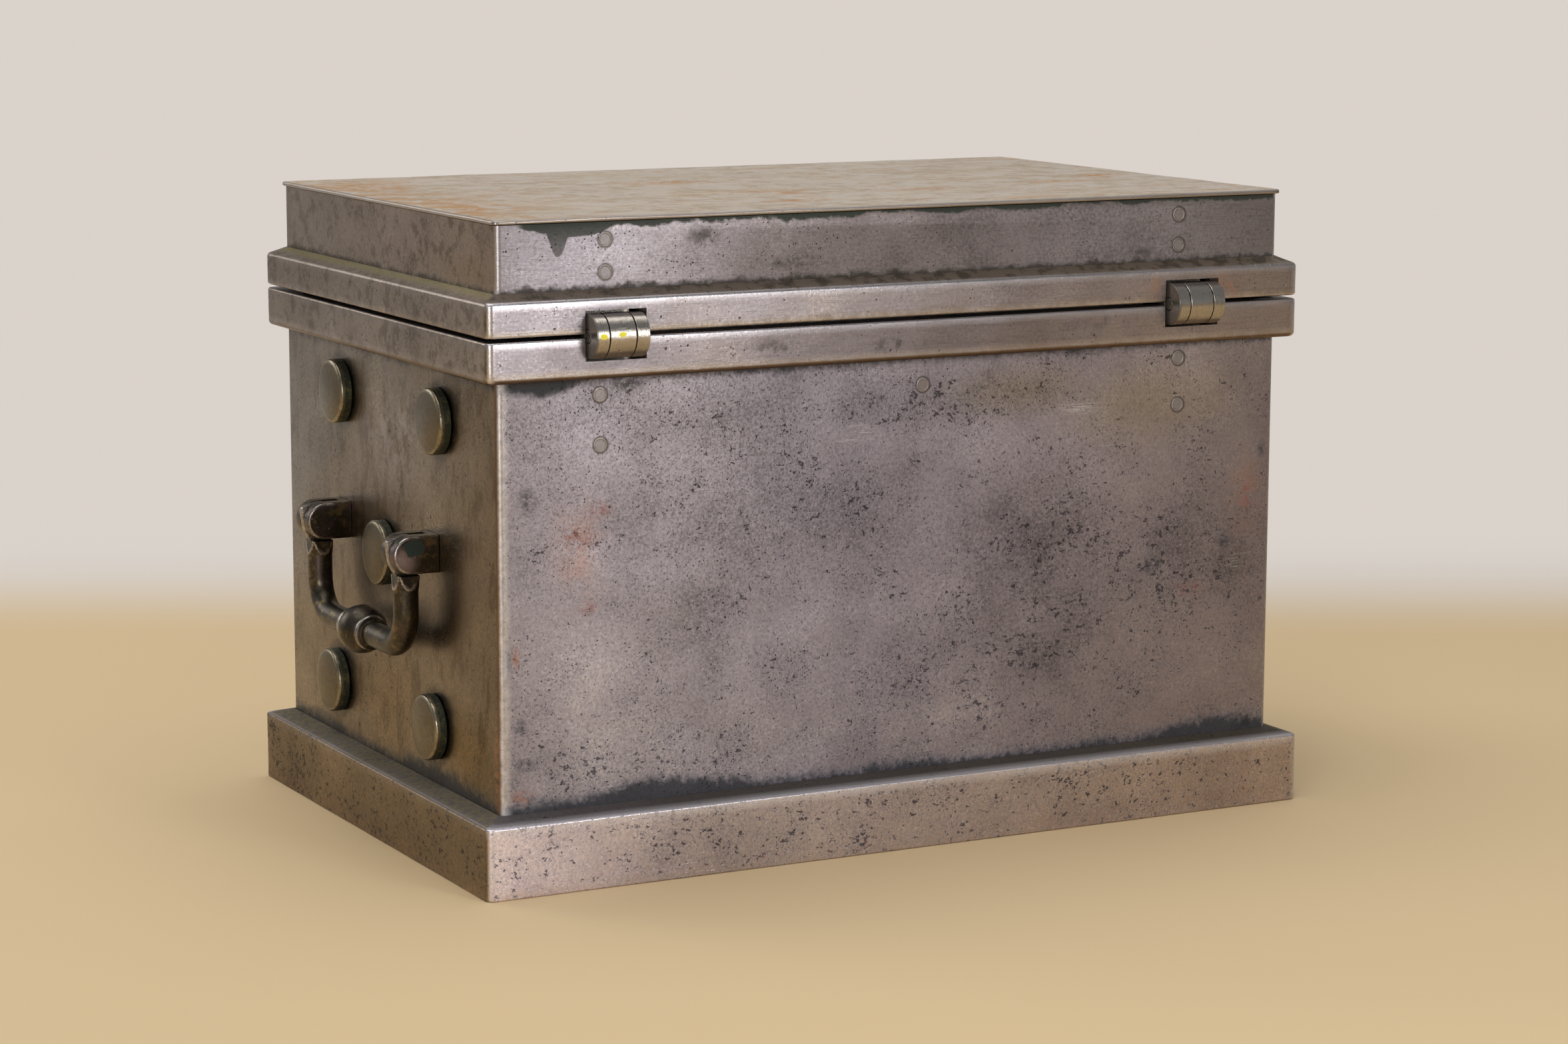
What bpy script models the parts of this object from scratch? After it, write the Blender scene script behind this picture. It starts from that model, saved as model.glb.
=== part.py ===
"""Iron strongbox: hinged lid, a drop handle on each end and a bolt lock inside the front.

The box stands on z = 0 with its middle over the origin. The lock side faces -Y, the hinges are on
the +Y side and the handles hang on the +X (right) and -X (left) ends. All sizes are in metres.
"""
import math

import bmesh
import bpy
from mathutils import Matrix, Vector

# Shell
BODY_LENGTH = 0.400
BODY_DEPTH = 0.2528
BODY_HEIGHT = 0.2418
JOINT_GAP = 0.0015
LID_HEIGHT = 0.0476
WALL = 0.003
BOTTOM_THICKNESS = 0.003
TOP_THICKNESS = 0.0022
TOP_OVERHANG = 0.0016
WALL_CORNER = 0.0028
TOP_CORNER = 0.003
FIT = 0.0003
MERGE = 1e-6
PAST = 0.01
NEAR_PAST = 0.001

# Plinth and rims
PLINTH_OVERHANG = 0.0114
PLINTH_HEIGHT = 0.0319
PLINTH_RISE = 0.0031
PLINTH_CORNER = 0.0036
PLINTH_EDGE = 0.0009
RIM_OVERHANG = 0.0077
BODY_RIM_HEIGHT = 0.0181
LID_RIM_HEIGHT = 0.0149
LID_RIM_RISE = 0.0036
RIM_CORNER = 0.0032
RIM_ROUND = 0.0021
RIM_EDGE = 0.0011

# Lip strips inside the joint
LIP_THICKNESS = 0.0025
LIP_DROP = 0.0348
LIP_RISE = 0.0052
LIP_END_CLEARANCE = 0.010
LIP_LOCK_CLEARANCE = 0.004
BACK_LIP_HALF = 0.128

# Hinges
HINGE_POCKET_WIDTH = 0.029
HINGE_POCKET_HEIGHT = 0.0218
HINGE_PLACES = {"right": 0.1471, "left": -0.1479}
BARREL_SHIFTS = {"right": 0.0011, "left": 0.0007}
BARREL_RADIUS = 0.0098
BARREL_LENGTH = 0.0252
MIDDLE_KNUCKLE = 0.0122
KNUCKLE_GAP = 0.0004
HINGE_PROUD = 0.0003
HINGE_PIN_RADIUS = 0.003
LEAF_THICKNESS = 0.003
LEAF_DROP = 0.055
LEAF_RISE = 0.0445
LEAF_WEB = 0.0062

# Flush rivets: radius, and the places of the hinge rivets
RIVET_RADIUS = 0.0027
RIVET_HEAD = 0.0042
RIVET_CROWN = 0.0029
RIVET_HEAD_HEIGHT = 0.0018
RIVET_SINK = 0.0005
LID_RIVET_X = {"right": 0.1486, "left": -0.1450}
BODY_RIVET_X = {"right": 0.1514, "left": -0.1460}
LID_RIVET_RISES = (0.0256, 0.0397)
BODY_RIVET_DROPS = (0.0258, 0.0477)
LIP_RIVET_DROPS = {"back": 0.0306, "right": 0.0255, "left": 0.0255}
BACK_LIP_RIVET_X = -0.0088
FRONT_LIP_RIVET_X = 0.128

# Bosses
BOSS_RADIUS = 0.015
BOSS_SIDE = 0.0056
BOSS_DOME = 0.0013
BOSS_EDGE = 0.0012
BOSS_CROWN = 0.0083
BOSS_CROWN_RISE = 0.00094
BOSS_SHANK = 0.004
BOSS_INNER_HEAD = 0.006
BOSS_INNER_CROWN = 0.0045
BOSS_INNER_HEIGHT = 0.0022
END_BOSS_SPREAD = 0.0591
FRONT_BOSS_SPREAD = 0.150
BOSS_TOP_MARGIN = 0.0418
BOSS_FOOT_MARGIN = 0.0258
BOSS_MIDDLE_SHIFT = 0.001
RIGHT_BOSS_LEANS = {"upper": 0.0041, "middle": -0.0027, "lower": -0.0049}

# Drop handles
HANDLE_PIVOT_RISE = 0.0089
HANDLE_PIVOT_OUT = 0.0130
HANDLE_HALF_SPAN = 0.053
LUG_RADIUS = 0.00865
LUG_WIDTH = 0.0167
LUG_SLOT = 0.0044
LUG_SLOT_ROOT = 0.00905
LUG_EDGE = 0.0006
LUG_TAIL_RADIUS = 0.004
BAIL_PIN_RADIUS = 0.0025
BAIL_BAR = 0.0059
BAIL_DROP = 0.0432
BAIL_BEND = 0.0165
BAIL_SHOULDER_DROP = 0.0094
BAIL_SHOULDER_HEIGHT = 0.0052
BAIL_SHOULDER_HALF = 0.0051
BAIL_SHOULDER_EDGE = 0.0022
EYE_THICKNESS = 0.0036
EYE_RADIUS = 0.0066
EYE_NOSE = 0.0091
EYE_CORNER = 0.0006
EYE_FACE = 0.0093
EYE_LEAN = 0.0009
EYE_CHIN = 0.00715
EYE_CHIN_DROP = 0.0060
BALL_RADIUS = 0.0113
COLLAR_RADIUS = 0.0082
COLLAR_WIDTH = 0.0034
COLLAR_EDGE = 0.00085
COLLAR_GROOVE = 0.0066

# Keyhole and its swinging cover
KEY_AXIS_RISE = 0.001
KEYHOLE_RADIUS = 0.004
KEYHOLE_SLOT = 0.0036
KEYHOLE_DROP = 0.013
KEY_REACH = 0.0125
COVER_PIN_RISE = 0.011
COVER_PIN_RADIUS = 0.0018

# Lock, hung on the inside of the front wall
LOCK_HALF_WIDTH = 0.062
LOCK_KEY_MARGIN = 0.0344
LOCK_TOP_DROP = 0.0138
LOCK_PLATE = 0.002
LOCK_CAP_INSET = 0.002
LOCK_CAP_DEPTH = 0.018
LOCK_CAP_WALL = 0.0015
BOLT_LENGTH = 0.0508
BOLT_HEIGHT = 0.010
BOLT_THICKNESS = 0.0044
BOLT_DROP = 0.0268
BOLT_LAYER = 0.0119
BOLT_NOSE_GAP = 0.002
BOLT_TRAVEL = 0.012
BOLT_NOTCH_DEPTH = 0.0067
GUIDE_THICKNESS = 0.003
GUIDE_PLACES = (-0.0405, -0.0095, 0.0065)
GUIDE_MARGIN = 0.003
GUIDE_STRIP = 0.0015
GUIDE_STRIP_DROP = 0.0075
GUIDE_STRIP_HEIGHT = 0.006
SPRING_LENGTH = 0.0135
SPRING_THICKNESS = 0.0008
SPRING_BOW = 0.0026
SPRING_PLACE = -0.031
LEVER_PIVOT_X = -0.024
LEVER_PIVOT_DROP = 0.045
LEVER_ARM = 0.042
LEVER_TAIL_RADIUS = 0.0065
LEVER_FORK = 0.0052
LEVER_FORK_DEPTH = 0.0055
LEVER_FINGER = 0.0038
LEVER_HUB = 0.0058
LEVER_WEB = 0.0033
LEVER_PIN_RADIUS = 0.0025
LEVER_PIN_COLLAR = 0.0045
LEVER_THICKNESS = 0.004
KEY_POST_RADIUS = 0.002
KEY_POST_HEAD = 0.0035
KEY_POST_GAP = 0.002
WARD_RADIUS = 0.009
WARD_WALL = 0.0012
WARD_DEPTH = 0.004
LOCK_RIVET_INSET = 0.0075
LOCK_SCREW_X = 0.050
LOCK_SCREW_RISE = 0.020
LOCK_SCREW_DROP = 0.036
SCREW_RADIUS = 0.0015
SCREW_HEAD = 0.0028
HEAD_BEVEL = 0.0006
SCREW_HEAD_HEIGHT = 0.0014

# Staple on the lid that the bolt passes through
STAPLE_THICKNESS = 0.005
STAPLE_DEPTH = 0.013
STAPLE_DROP = 0.038
STAPLE_EYE_MARGIN_Y = 0.0008
STAPLE_EYE_MARGIN_Z = 0.0013
STAPLE_NECK = 0.0195
STAPLE_MOUTH_MARGIN = 0.001
STRAP_HALF_WIDTH = 0.018
STRAP_THICKNESS = 0.0025
STRAP_BOTTOM = 0.0075
STRAP_TOP = 0.0435
STAPLE_RIVET_X = 0.012
STAPLE_RIVET_RISE = 0.0315

# Facets and drawing
TOP_EDGE = 0.00084
FLAT_ANGLE = 0.001
AXIS_MARK = 0.02
ROUND_STEPS = 20
BOSS_STEPS = 16
SMALL_STEPS = 10
CORNER_STEPS = 3

# Places worked out from the sizes above
HALF_X = BODY_LENGTH / 2
HALF_Y = BODY_DEPTH / 2
INNER_X = HALF_X - WALL
INNER_Y = HALF_Y - WALL
LID_BOTTOM = BODY_HEIGHT + JOINT_GAP
LID_TOP = LID_BOTTOM + LID_HEIGHT
HINGE_Y = HALF_Y + RIM_OVERHANG + HINGE_PROUD
HINGE_Z = BODY_HEIGHT + JOINT_GAP / 2
BOSS_UPPER_Z = BODY_HEIGHT - BOSS_TOP_MARGIN
BOSS_LOWER_Z = PLINTH_HEIGHT + PLINTH_RISE + BOSS_FOOT_MARGIN
BOSS_MIDDLE_Z = (BOSS_UPPER_Z + BOSS_LOWER_Z) / 2 + BOSS_MIDDLE_SHIFT
HANDLE_PIVOT_Z = BOSS_MIDDLE_Z + HANDLE_PIVOT_RISE
KEY_AXIS_Z = BOSS_MIDDLE_Z + KEY_AXIS_RISE
LOCK_TOP = BODY_HEIGHT - LOCK_TOP_DROP
LOCK_BOTTOM = KEY_AXIS_Z - LOCK_KEY_MARGIN
LOCK_SCREW_ZS = (LOCK_BOTTOM + LOCK_SCREW_RISE, LOCK_TOP - LOCK_SCREW_DROP)
BOLT_MIDDLE_Z = BODY_HEIGHT - BOLT_DROP
LEVER_PIVOT_Z = BOLT_MIDDLE_Z - LEVER_PIVOT_DROP
LOCK_FACE_Y = -INNER_Y + FIT + LOCK_PLATE
CAP_Y = LOCK_FACE_Y + FIT
BOLT_Y = -INNER_Y + BOLT_LAYER
LEVER_TILT = math.asin(BOLT_TRAVEL / 2 / LEVER_ARM)
SIDES = {"back": 0.0, "left": 90.0, "front": 180.0, "right": -90.0}

COLOURS = {
    "back_steel": ((0.36, 0.33, 0.335, 1.0), 0.38),
    "top_steel": ((0.42, 0.34, 0.25, 1.0), 0.42),
    "boss_steel": ((0.25, 0.215, 0.16, 1.0), 0.40),
    "dark_iron": ((0.12, 0.10, 0.085, 1.0), 0.42),
    "inner_iron": ((0.17, 0.15, 0.135, 1.0), 0.60),
    "hinge_steel": ((0.45, 0.42, 0.38, 1.0), 0.30),
}


def new_collection(name):
    """A fresh collection in the scene."""
    collection = bpy.data.collections.new(name)
    bpy.context.scene.collection.children.link(collection)
    return collection


def material(slot):
    """The metal of one finish, made once."""
    if slot in bpy.data.materials:
        return bpy.data.materials[slot]
    colour, roughness = COLOURS[slot]
    metal = bpy.data.materials.new(slot)
    metal.use_nodes = True
    shader = metal.node_tree.nodes["Principled BSDF"]
    shader.inputs["Base Color"].default_value = colour
    shader.inputs["Roughness"].default_value = roughness
    shader.inputs["Metallic"].default_value = 1.0
    metal.diffuse_color = colour
    return metal


def solid(name, mesh, slot, carrier=None):
    """A named piece from a mesh in world coordinates, hung on a carrier empty if it moves."""
    mesh.name = name
    piece = bpy.data.objects.new(name, mesh)
    PARTS.objects.link(piece)
    mesh.materials.append(material(slot))
    mesh.shade_smooth()
    mesh.set_sharp_from_angle(angle=math.radians(32))
    if carrier is not None:
        piece.parent = carrier
        piece.location = -carrier.location
    return piece


def pivot(name, place):
    """An empty on a joint's axis, which carries the pieces that move on it."""
    empty = bpy.data.objects.new(name, None)
    empty.empty_display_size = AXIS_MARK
    empty.location = place
    PARTS.objects.link(empty)
    return empty


def tool(name, mesh):
    """A hidden shape that cuts or joins a piece."""
    shape = bpy.data.objects.new(name, mesh)
    CUTTERS.objects.link(shape)
    shape.hide_render = True
    shape.display_type = "WIRE"
    return shape


def combine(piece, mesh, operation):
    """Cuts a mesh out of a piece, or joins it on, with a Boolean."""
    shape = tool(piece.name + "_" + operation.lower(), mesh)
    modifier = piece.modifiers.new(shape.name, "BOOLEAN")
    modifier.operation = operation
    modifier.object = shape
    return modifier


def finished(bm):
    """Closes a bmesh with its faces pointing out and returns its mesh."""
    bmesh.ops.recalc_face_normals(bm, faces=bm.faces)
    mesh = bpy.data.meshes.new("shape")
    bm.to_mesh(mesh)
    bm.free()
    return mesh


def box(low, high):
    """A box mesh between two corners."""
    low, high = Vector(low), Vector(high)
    bm = bmesh.new()
    bmesh.ops.create_cube(bm, size=1.0)
    size = high - low
    bmesh.ops.scale(bm, vec=size, verts=bm.verts)
    bmesh.ops.translate(bm, vec=(low + high) / 2, verts=bm.verts)
    return finished(bm)


def rod(start, end, radius, steps=SMALL_STEPS):
    """A round rod mesh between two points."""
    start, end = Vector(start), Vector(end)
    run = end - start
    turn = run.to_track_quat("Z", "Y").to_matrix().to_4x4()
    bm = bmesh.new()
    bmesh.ops.create_cone(bm, cap_ends=True, segments=steps, radius1=radius, radius2=radius,
                          depth=run.length, matrix=Matrix.Translation((start + end) / 2) @ turn)
    return finished(bm)


def evaluated(shape):
    """The mesh of a helper object with its modifiers, after which the helper goes."""
    bpy.context.view_layer.update()
    graph = bpy.context.evaluated_depsgraph_get()
    mesh = bpy.data.meshes.new_from_object(shape.evaluated_get(graph))
    bpy.data.objects.remove(shape)
    bm = bmesh.new()
    bm.from_mesh(mesh)
    bmesh.ops.remove_doubles(bm, verts=bm.verts, dist=MERGE)
    bmesh.ops.dissolve_limit(bm, angle_limit=FLAT_ANGLE, verts=bm.verts, edges=bm.edges)
    return finished(bm)


def turned(profile, steps):
    """A solid of revolution about Z: the profile's (radius, height) points run from axis to axis."""
    mesh = bpy.data.meshes.new("profile")
    points = [(radius, 0.0, height) for radius, height in profile]
    mesh.from_pydata(points, [(index, index + 1) for index in range(len(points) - 1)], [])
    shape = tool("turned", mesh)
    screw = shape.modifiers.new("screw", "SCREW")
    screw.steps = steps
    screw.render_steps = steps
    screw.use_merge_vertices = True
    screw.merge_threshold = MERGE
    return evaluated(shape)


def prism(outline, low, high, frame=Matrix.Identity(4)):
    """A flat outline in a frame's XY plane that stands from low to high along its Z."""
    curve = bpy.data.curves.new("outline", "CURVE")
    curve.dimensions = "2D"
    curve.fill_mode = "BOTH"
    curve.extrude = (high - low) / 2
    spline = curve.splines.new("POLY")
    spline.points.add(len(outline) - 1)
    for point, (x, y) in zip(spline.points, outline):
        point.co = (x, y, 0, 1)
    spline.use_cyclic_u = True
    mesh = evaluated(tool("prism", curve))
    mesh.transform(frame @ Matrix.Translation((0, 0, (low + high) / 2)))
    return mesh


def rounded_rectangle(half_x, half_y, radius):
    """Points round a rectangle with rounded corners, from the front right corner anticlockwise."""
    points = []
    for turn, (x, y) in zip((-90, 0, 90, 180), ((1, -1), (1, 1), (-1, 1), (-1, -1))):
        centre = (x * (half_x - radius), y * (half_y - radius))
        points += arc(centre, radius, turn, turn + 90, CORNER_STEPS)
    return points


def moulding(section, corner):
    """A bar bent round the box: its section's points are (distance out from the wall, height)."""
    bm = bmesh.new()
    loops = []
    for out, height in section:
        radius = WALL_CORNER + FIT if out <= FIT else corner
        ring = rounded_rectangle(HALF_X + out, HALF_Y + out, radius)
        loops.append([bm.verts.new((x, y, height)) for x, y in ring])
    for first, second in zip(loops, loops[1:] + loops[:1]):
        for index in range(len(first)):
            bm.faces.new((first[index - 1], first[index], second[index], second[index - 1]))
    return finished(bm)


def bar_section(overhang, low, high, rise, low_round, high_round):
    """The section of a bar: square or rounded at its outer edges, its top sloping up to the wall."""
    tilt = math.degrees(math.atan2(rise, overhang))
    section = [(FIT, low)]
    section += arc((overhang - low_round, low + low_round), low_round, -90, 0, CORNER_STEPS)
    reach = high_round * math.tan(math.radians(90 - tilt) / 2)
    centre = (overhang - high_round, high - reach)
    section += arc(centre, high_round, 0, 90 - tilt, CORNER_STEPS)
    return section + [(FIT, high + rise * (1 - FIT / overhang))]


def group(meshes):
    """Several meshes as one, each still a body of its own."""
    bm = bmesh.new()
    for mesh in meshes:
        bm.from_mesh(mesh)
    joined = bpy.data.meshes.new("group")
    bm.to_mesh(joined)
    bm.free()
    return joined


def placed(mesh, matrix):
    """A copy of a mesh moved by a matrix."""
    copy = mesh.copy()
    copy.transform(matrix)
    return copy


def facing(side, distance):
    """A frame on a side of the box: X along the wall, Y up, Z straight out, at a distance from the middle."""
    turn = Matrix.Rotation(math.radians(SIDES[side]), 4, "Z")
    stand = Matrix.Rotation(math.radians(90), 4, "X") @ Matrix.Rotation(math.radians(180), 4, "Y")
    return turn @ Matrix.Translation((0, distance, 0)) @ stand


def along(side, offset, height, distance):
    """A frame on a side whose origin is at a world offset along the wall and a height."""
    frame = facing(side, distance)
    place = Vector((offset, distance_sign(side) * distance, height))
    if side in ("right", "left"):
        place = Vector((distance_sign(side) * distance, offset, height))
    frame.translation = place
    return frame


def distance_sign(side):
    """Which way the side faces along its own axis."""
    return 1 if side in ("back", "right") else -1


def arc(centre, radius, start, end, steps):
    """Points on an arc, in degrees, ends included."""
    turns = [math.radians(start + (end - start) * step / steps) for step in range(steps + 1)]
    return [(centre[0] + radius * math.cos(turn), centre[1] + radius * math.sin(turn)) for turn in turns]


def folded_sheet(low, high):
    """Back and ends as one sheet bent round the two back corners, open at the front."""
    outline = rounded_rectangle(HALF_X, HALF_Y, WALL_CORNER)
    outline += [(-INNER_X, -HALF_Y), (-INNER_X, INNER_Y), (INNER_X, INNER_Y), (INNER_X, -HALF_Y)]
    return prism(outline, low, high)


def front_sheet(low, high):
    """The front, which stands between the ends of the folded sheet."""
    half = INNER_X - FIT
    return box((-half, -HALF_Y, low), (half, -INNER_Y, high))


def rivet(plies):
    """A flush rivet about Z: its outer end at zero, and a head on the inner side of the plies."""
    seat = -plies + RIVET_SINK
    end = -plies - RIVET_HEAD_HEIGHT
    profile = [(0, 0), (RIVET_RADIUS, 0), (RIVET_RADIUS, seat), (RIVET_HEAD, seat),
               (RIVET_CROWN, end), (0, end)]
    return turned(profile, SMALL_STEPS)


def riveted(piece, side, places, thickness):
    """Adds the rivets that hold a piece of a thickness against the inside of a wall."""
    mesh = rivet(WALL + FIT + thickness)
    frames = [along(side, offset, height, HALF_Y if side in ("back", "front") else HALF_X)
              for offset, height in places]
    combine(piece, group([placed(mesh, frame) for frame in frames]), "UNION")


def hole(depth, radius):
    """A round cutter about Z that runs from outside the wall to a depth inside it."""
    return rod((0, 0, 2 * PAST), (0, 0, -depth), radius + FIT)


def boss_profile(with_shank):
    """Radius and height points of a boss whose seat is at zero, domed outward."""
    face = BOSS_SIDE + FIT
    profile = [(0, face + BOSS_DOME), (BOSS_CROWN, face + BOSS_CROWN_RISE),
               (BOSS_RADIUS - BOSS_EDGE, face), (BOSS_RADIUS, face - BOSS_EDGE), (BOSS_RADIUS, FIT)]
    if not with_shank:
        return profile + [(0, FIT)]
    inside = -WALL - FIT
    return profile + [(BOSS_SHANK, FIT), (BOSS_SHANK, inside), (BOSS_INNER_HEAD, inside),
                      (BOSS_INNER_CROWN, inside - BOSS_INNER_HEIGHT),
                      (0, inside - BOSS_INNER_HEIGHT)]


def quincunx(spread, leans, with_middle):
    """Five boss places, or four, as (offset, height): two above, two below and one in the middle."""
    rows = {"upper": BOSS_UPPER_Z, "lower": BOSS_LOWER_Z}
    places = [(leans.get(row, 0.0) + sign * spread, height)
              for row, height in rows.items() for sign in (-1, 1)]
    if with_middle:
        places.append((leans.get("middle", 0.0), BOSS_MIDDLE_Z))
    return places


def build_bosses():
    """The bosses of the two ends and the front, and the cutters of their holes."""
    mesh = turned(boss_profile(True), BOSS_STEPS)
    layouts = {
        "right": quincunx(END_BOSS_SPREAD, RIGHT_BOSS_LEANS, True),
        "left": quincunx(END_BOSS_SPREAD, {}, True),
        "front": quincunx(FRONT_BOSS_SPREAD, {}, False),
    }
    holes = {}
    for side, places in layouts.items():
        distance = HALF_Y if side == "front" else HALF_X
        frames = [along(side, offset, height, distance) for offset, height in places]
        for number, frame in enumerate(frames, 1):
            solid("boss_" + side + "_" + str(number), placed(mesh, frame), "boss_steel")
        holes[side] = [placed(hole(WALL + NEAR_PAST, BOSS_SHANK), frame) for frame in frames]
    return holes


def build_lugs(side):
    """The two forked lugs of a handle, their wall holes, and the pins through them."""
    sign = distance_sign(side)
    holes = []
    axis_x = sign * (HALF_X + HANDLE_PIVOT_OUT)
    upright = Matrix(((1, 0, 0, 0), (0, 0, -1, 0), (0, 1, 0, 0), (0, 0, 0, 1)))
    for end, offset in (("front", -HANDLE_HALF_SPAN), ("back", HANDLE_HALF_SPAN)):
        outline = arc((0, 0), LUG_RADIUS, -90, 90, 10)
        root = -HANDLE_PIVOT_OUT + FIT
        outline += [(root, LUG_RADIUS), (root, -LUG_RADIUS)]
        mesh = prism(outline, -LUG_WIDTH / 2, LUG_WIDTH / 2, upright)
        place = Matrix.Translation((axis_x, offset, HANDLE_PIVOT_Z))
        turn = Matrix.Rotation(0 if sign > 0 else math.pi, 4, "Z")
        mesh.transform(place @ turn)
        lug = solid("handle_lug_" + side + "_" + end, mesh, "dark_iron")
        edges = lug.modifiers.new("rounded_edges", "BEVEL")
        edges.width = LUG_EDGE
        edges.segments = 1
        edges.limit_method = "ANGLE"
        edges.angle_limit = math.radians(50)
        seat = along(side, offset, HANDLE_PIVOT_Z, HALF_X)
        inside = -WALL - FIT
        tail = turned([(0, RIVET_HEAD_HEIGHT), (LUG_TAIL_RADIUS, RIVET_HEAD_HEIGHT),
                       (LUG_TAIL_RADIUS, inside),
                       (BOSS_INNER_HEAD, inside), (BOSS_INNER_CROWN, inside - BOSS_INNER_HEIGHT),
                       (0, inside - BOSS_INNER_HEIGHT)], SMALL_STEPS)
        combine(lug, placed(tail, seat), "UNION")
        half_slot = LUG_SLOT / 2
        reach = HANDLE_PIVOT_OUT + PAST
        slot = box((-LUG_SLOT_ROOT, -half_slot, -reach), (reach, half_slot, reach))
        combine(lug, placed(slot, place @ turn), "DIFFERENCE")
        ends = [(axis_x, offset + way * reach, HANDLE_PIVOT_Z) for way in (-1, 1)]
        combine(lug, rod(ends[0], ends[1], BAIL_PIN_RADIUS + FIT), "DIFFERENCE")
        flush = [(axis_x, offset + way * LUG_WIDTH / 2, HANDLE_PIVOT_Z) for way in (-1, 1)]
        solid("bail_pin_" + side + "_" + end, rod(flush[0], flush[1], BAIL_PIN_RADIUS), "dark_iron")
        holes.append(placed(hole(WALL + NEAR_PAST, LUG_TAIL_RADIUS), seat))
    return holes


def bail_bar():
    """The round bar of a bail as a mesh: down one arm, across the bottom and up the other."""
    shoulder = -BAIL_SHOULDER_DROP - BAIL_SHOULDER_HEIGHT / 2
    low = -BAIL_DROP + BAIL_BEND
    inner = HANDLE_HALF_SPAN - BAIL_BEND
    bend = [(x, z) for x, z in arc((inner, low), BAIL_BEND, 0, -90, 5)]
    half = [(HANDLE_HALF_SPAN, shoulder)] + bend
    route = half + [(-y, z) for y, z in reversed(half)]
    curve = bpy.data.curves.new("bail_bar", "CURVE")
    curve.dimensions = "3D"
    curve.bevel_depth = BAIL_BAR
    curve.bevel_resolution = 3
    curve.use_fill_caps = True
    spline = curve.splines.new("POLY")
    spline.points.add(len(route) - 1)
    for point, (y, z) in zip(spline.points, route):
        point.co = (0, y, z, 1)
    guide = tool("bail_route", curve)
    return evaluated(guide)


def bail_knop():
    """The ball and its two collars in the middle of a bail, turned about Y."""
    bar_end = BALL_RADIUS + COLLAR_WIDTH
    edge = COLLAR_EDGE
    sleeve = BAIL_BAR - FIT
    meet = math.degrees(math.asin(COLLAR_GROOVE / BALL_RADIUS))
    collar_start = BALL_RADIUS * math.cos(math.radians(meet))
    side = [(0, bar_end), (sleeve, bar_end), (sleeve, collar_start + COLLAR_WIDTH),
            (COLLAR_RADIUS - edge, collar_start + COLLAR_WIDTH),
            (COLLAR_RADIUS, collar_start + COLLAR_WIDTH - edge),
            (COLLAR_RADIUS, collar_start + edge), (COLLAR_RADIUS - edge, collar_start + edge / 2),
            (COLLAR_GROOVE, collar_start)]
    ball = arc((0, 0), BALL_RADIUS, 90 - meet, meet - 90, 6)[1:-1]
    profile = side + ball + [(radius, -height) for radius, height in reversed(side)]
    return placed(turned(profile, BOSS_STEPS), Matrix.Rotation(math.radians(-90), 4, "X"))


def bail_head(offset, sign):
    """The flat eye and squared shoulder at the top of one arm, pointing out along sign times X."""
    lean = BAIL_SHOULDER_HALF
    sunk = -BAIL_SHOULDER_DROP - NEAR_PAST
    eye = [(0.0, EYE_RADIUS), (EYE_NOSE - EYE_CORNER, EYE_RADIUS), (EYE_NOSE, EYE_RADIUS - EYE_CORNER),
           (EYE_NOSE - EYE_LEAN, EYE_RADIUS - EYE_FACE), (EYE_CHIN, -EYE_CHIN_DROP),
           (lean, -BAIL_SHOULDER_DROP), (lean, sunk), (-lean, sunk), (-lean, -BAIL_SHOULDER_DROP)]
    eye += arc((0, 0), EYE_RADIUS, 225, 90, 8)[:-1]
    upright = Matrix(((sign, 0, 0, 0), (0, 0, -1, offset), (0, 1, 0, 0), (0, 0, 0, 1)))
    tongue = prism(eye, -EYE_THICKNESS / 2, EYE_THICKNESS / 2, upright)
    block_low = (-lean, offset - lean, -BAIL_SHOULDER_DROP - BAIL_SHOULDER_HEIGHT)
    block_high = (lean, offset + lean, -BAIL_SHOULDER_DROP)
    block = bmesh.new()
    block.from_mesh(box(block_low, block_high))
    lower = [edge for edge in block.edges if all(v.co.z < -BAIL_SHOULDER_DROP - FIT for v in edge.verts)]
    upright_edges = [edge for edge in block.edges if abs(edge.verts[0].co.z - edge.verts[1].co.z) > FIT]
    bmesh.ops.bevel(block, geom=lower + upright_edges, offset=BAIL_SHOULDER_EDGE, segments=1, affect="EDGES")
    return tongue, finished(block)


def build_bail(side):
    """A drop handle that hangs plumb from its pivot."""
    sign = distance_sign(side)
    place = Vector((sign * (HALF_X + HANDLE_PIVOT_OUT), 0, HANDLE_PIVOT_Z))
    carrier = pivot("bail_" + side + "_axis", place)
    move = Matrix.Translation(place)
    bail = solid("bail_" + side, placed(bail_bar(), move), "dark_iron", carrier)
    combine(bail, placed(bail_knop(), move @ Matrix.Translation((0, 0, -BAIL_DROP))), "UNION")
    for offset in (-HANDLE_HALF_SPAN, HANDLE_HALF_SPAN):
        for mesh in bail_head(offset, sign):
            combine(bail, placed(mesh, move), "UNION")
    reach = HANDLE_HALF_SPAN + LUG_WIDTH
    ends = [(place.x, way * reach, place.z) for way in (-1, 1)]
    combine(bail, rod(ends[0], ends[1], BAIL_PIN_RADIUS + FIT), "DIFFERENCE")


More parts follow.
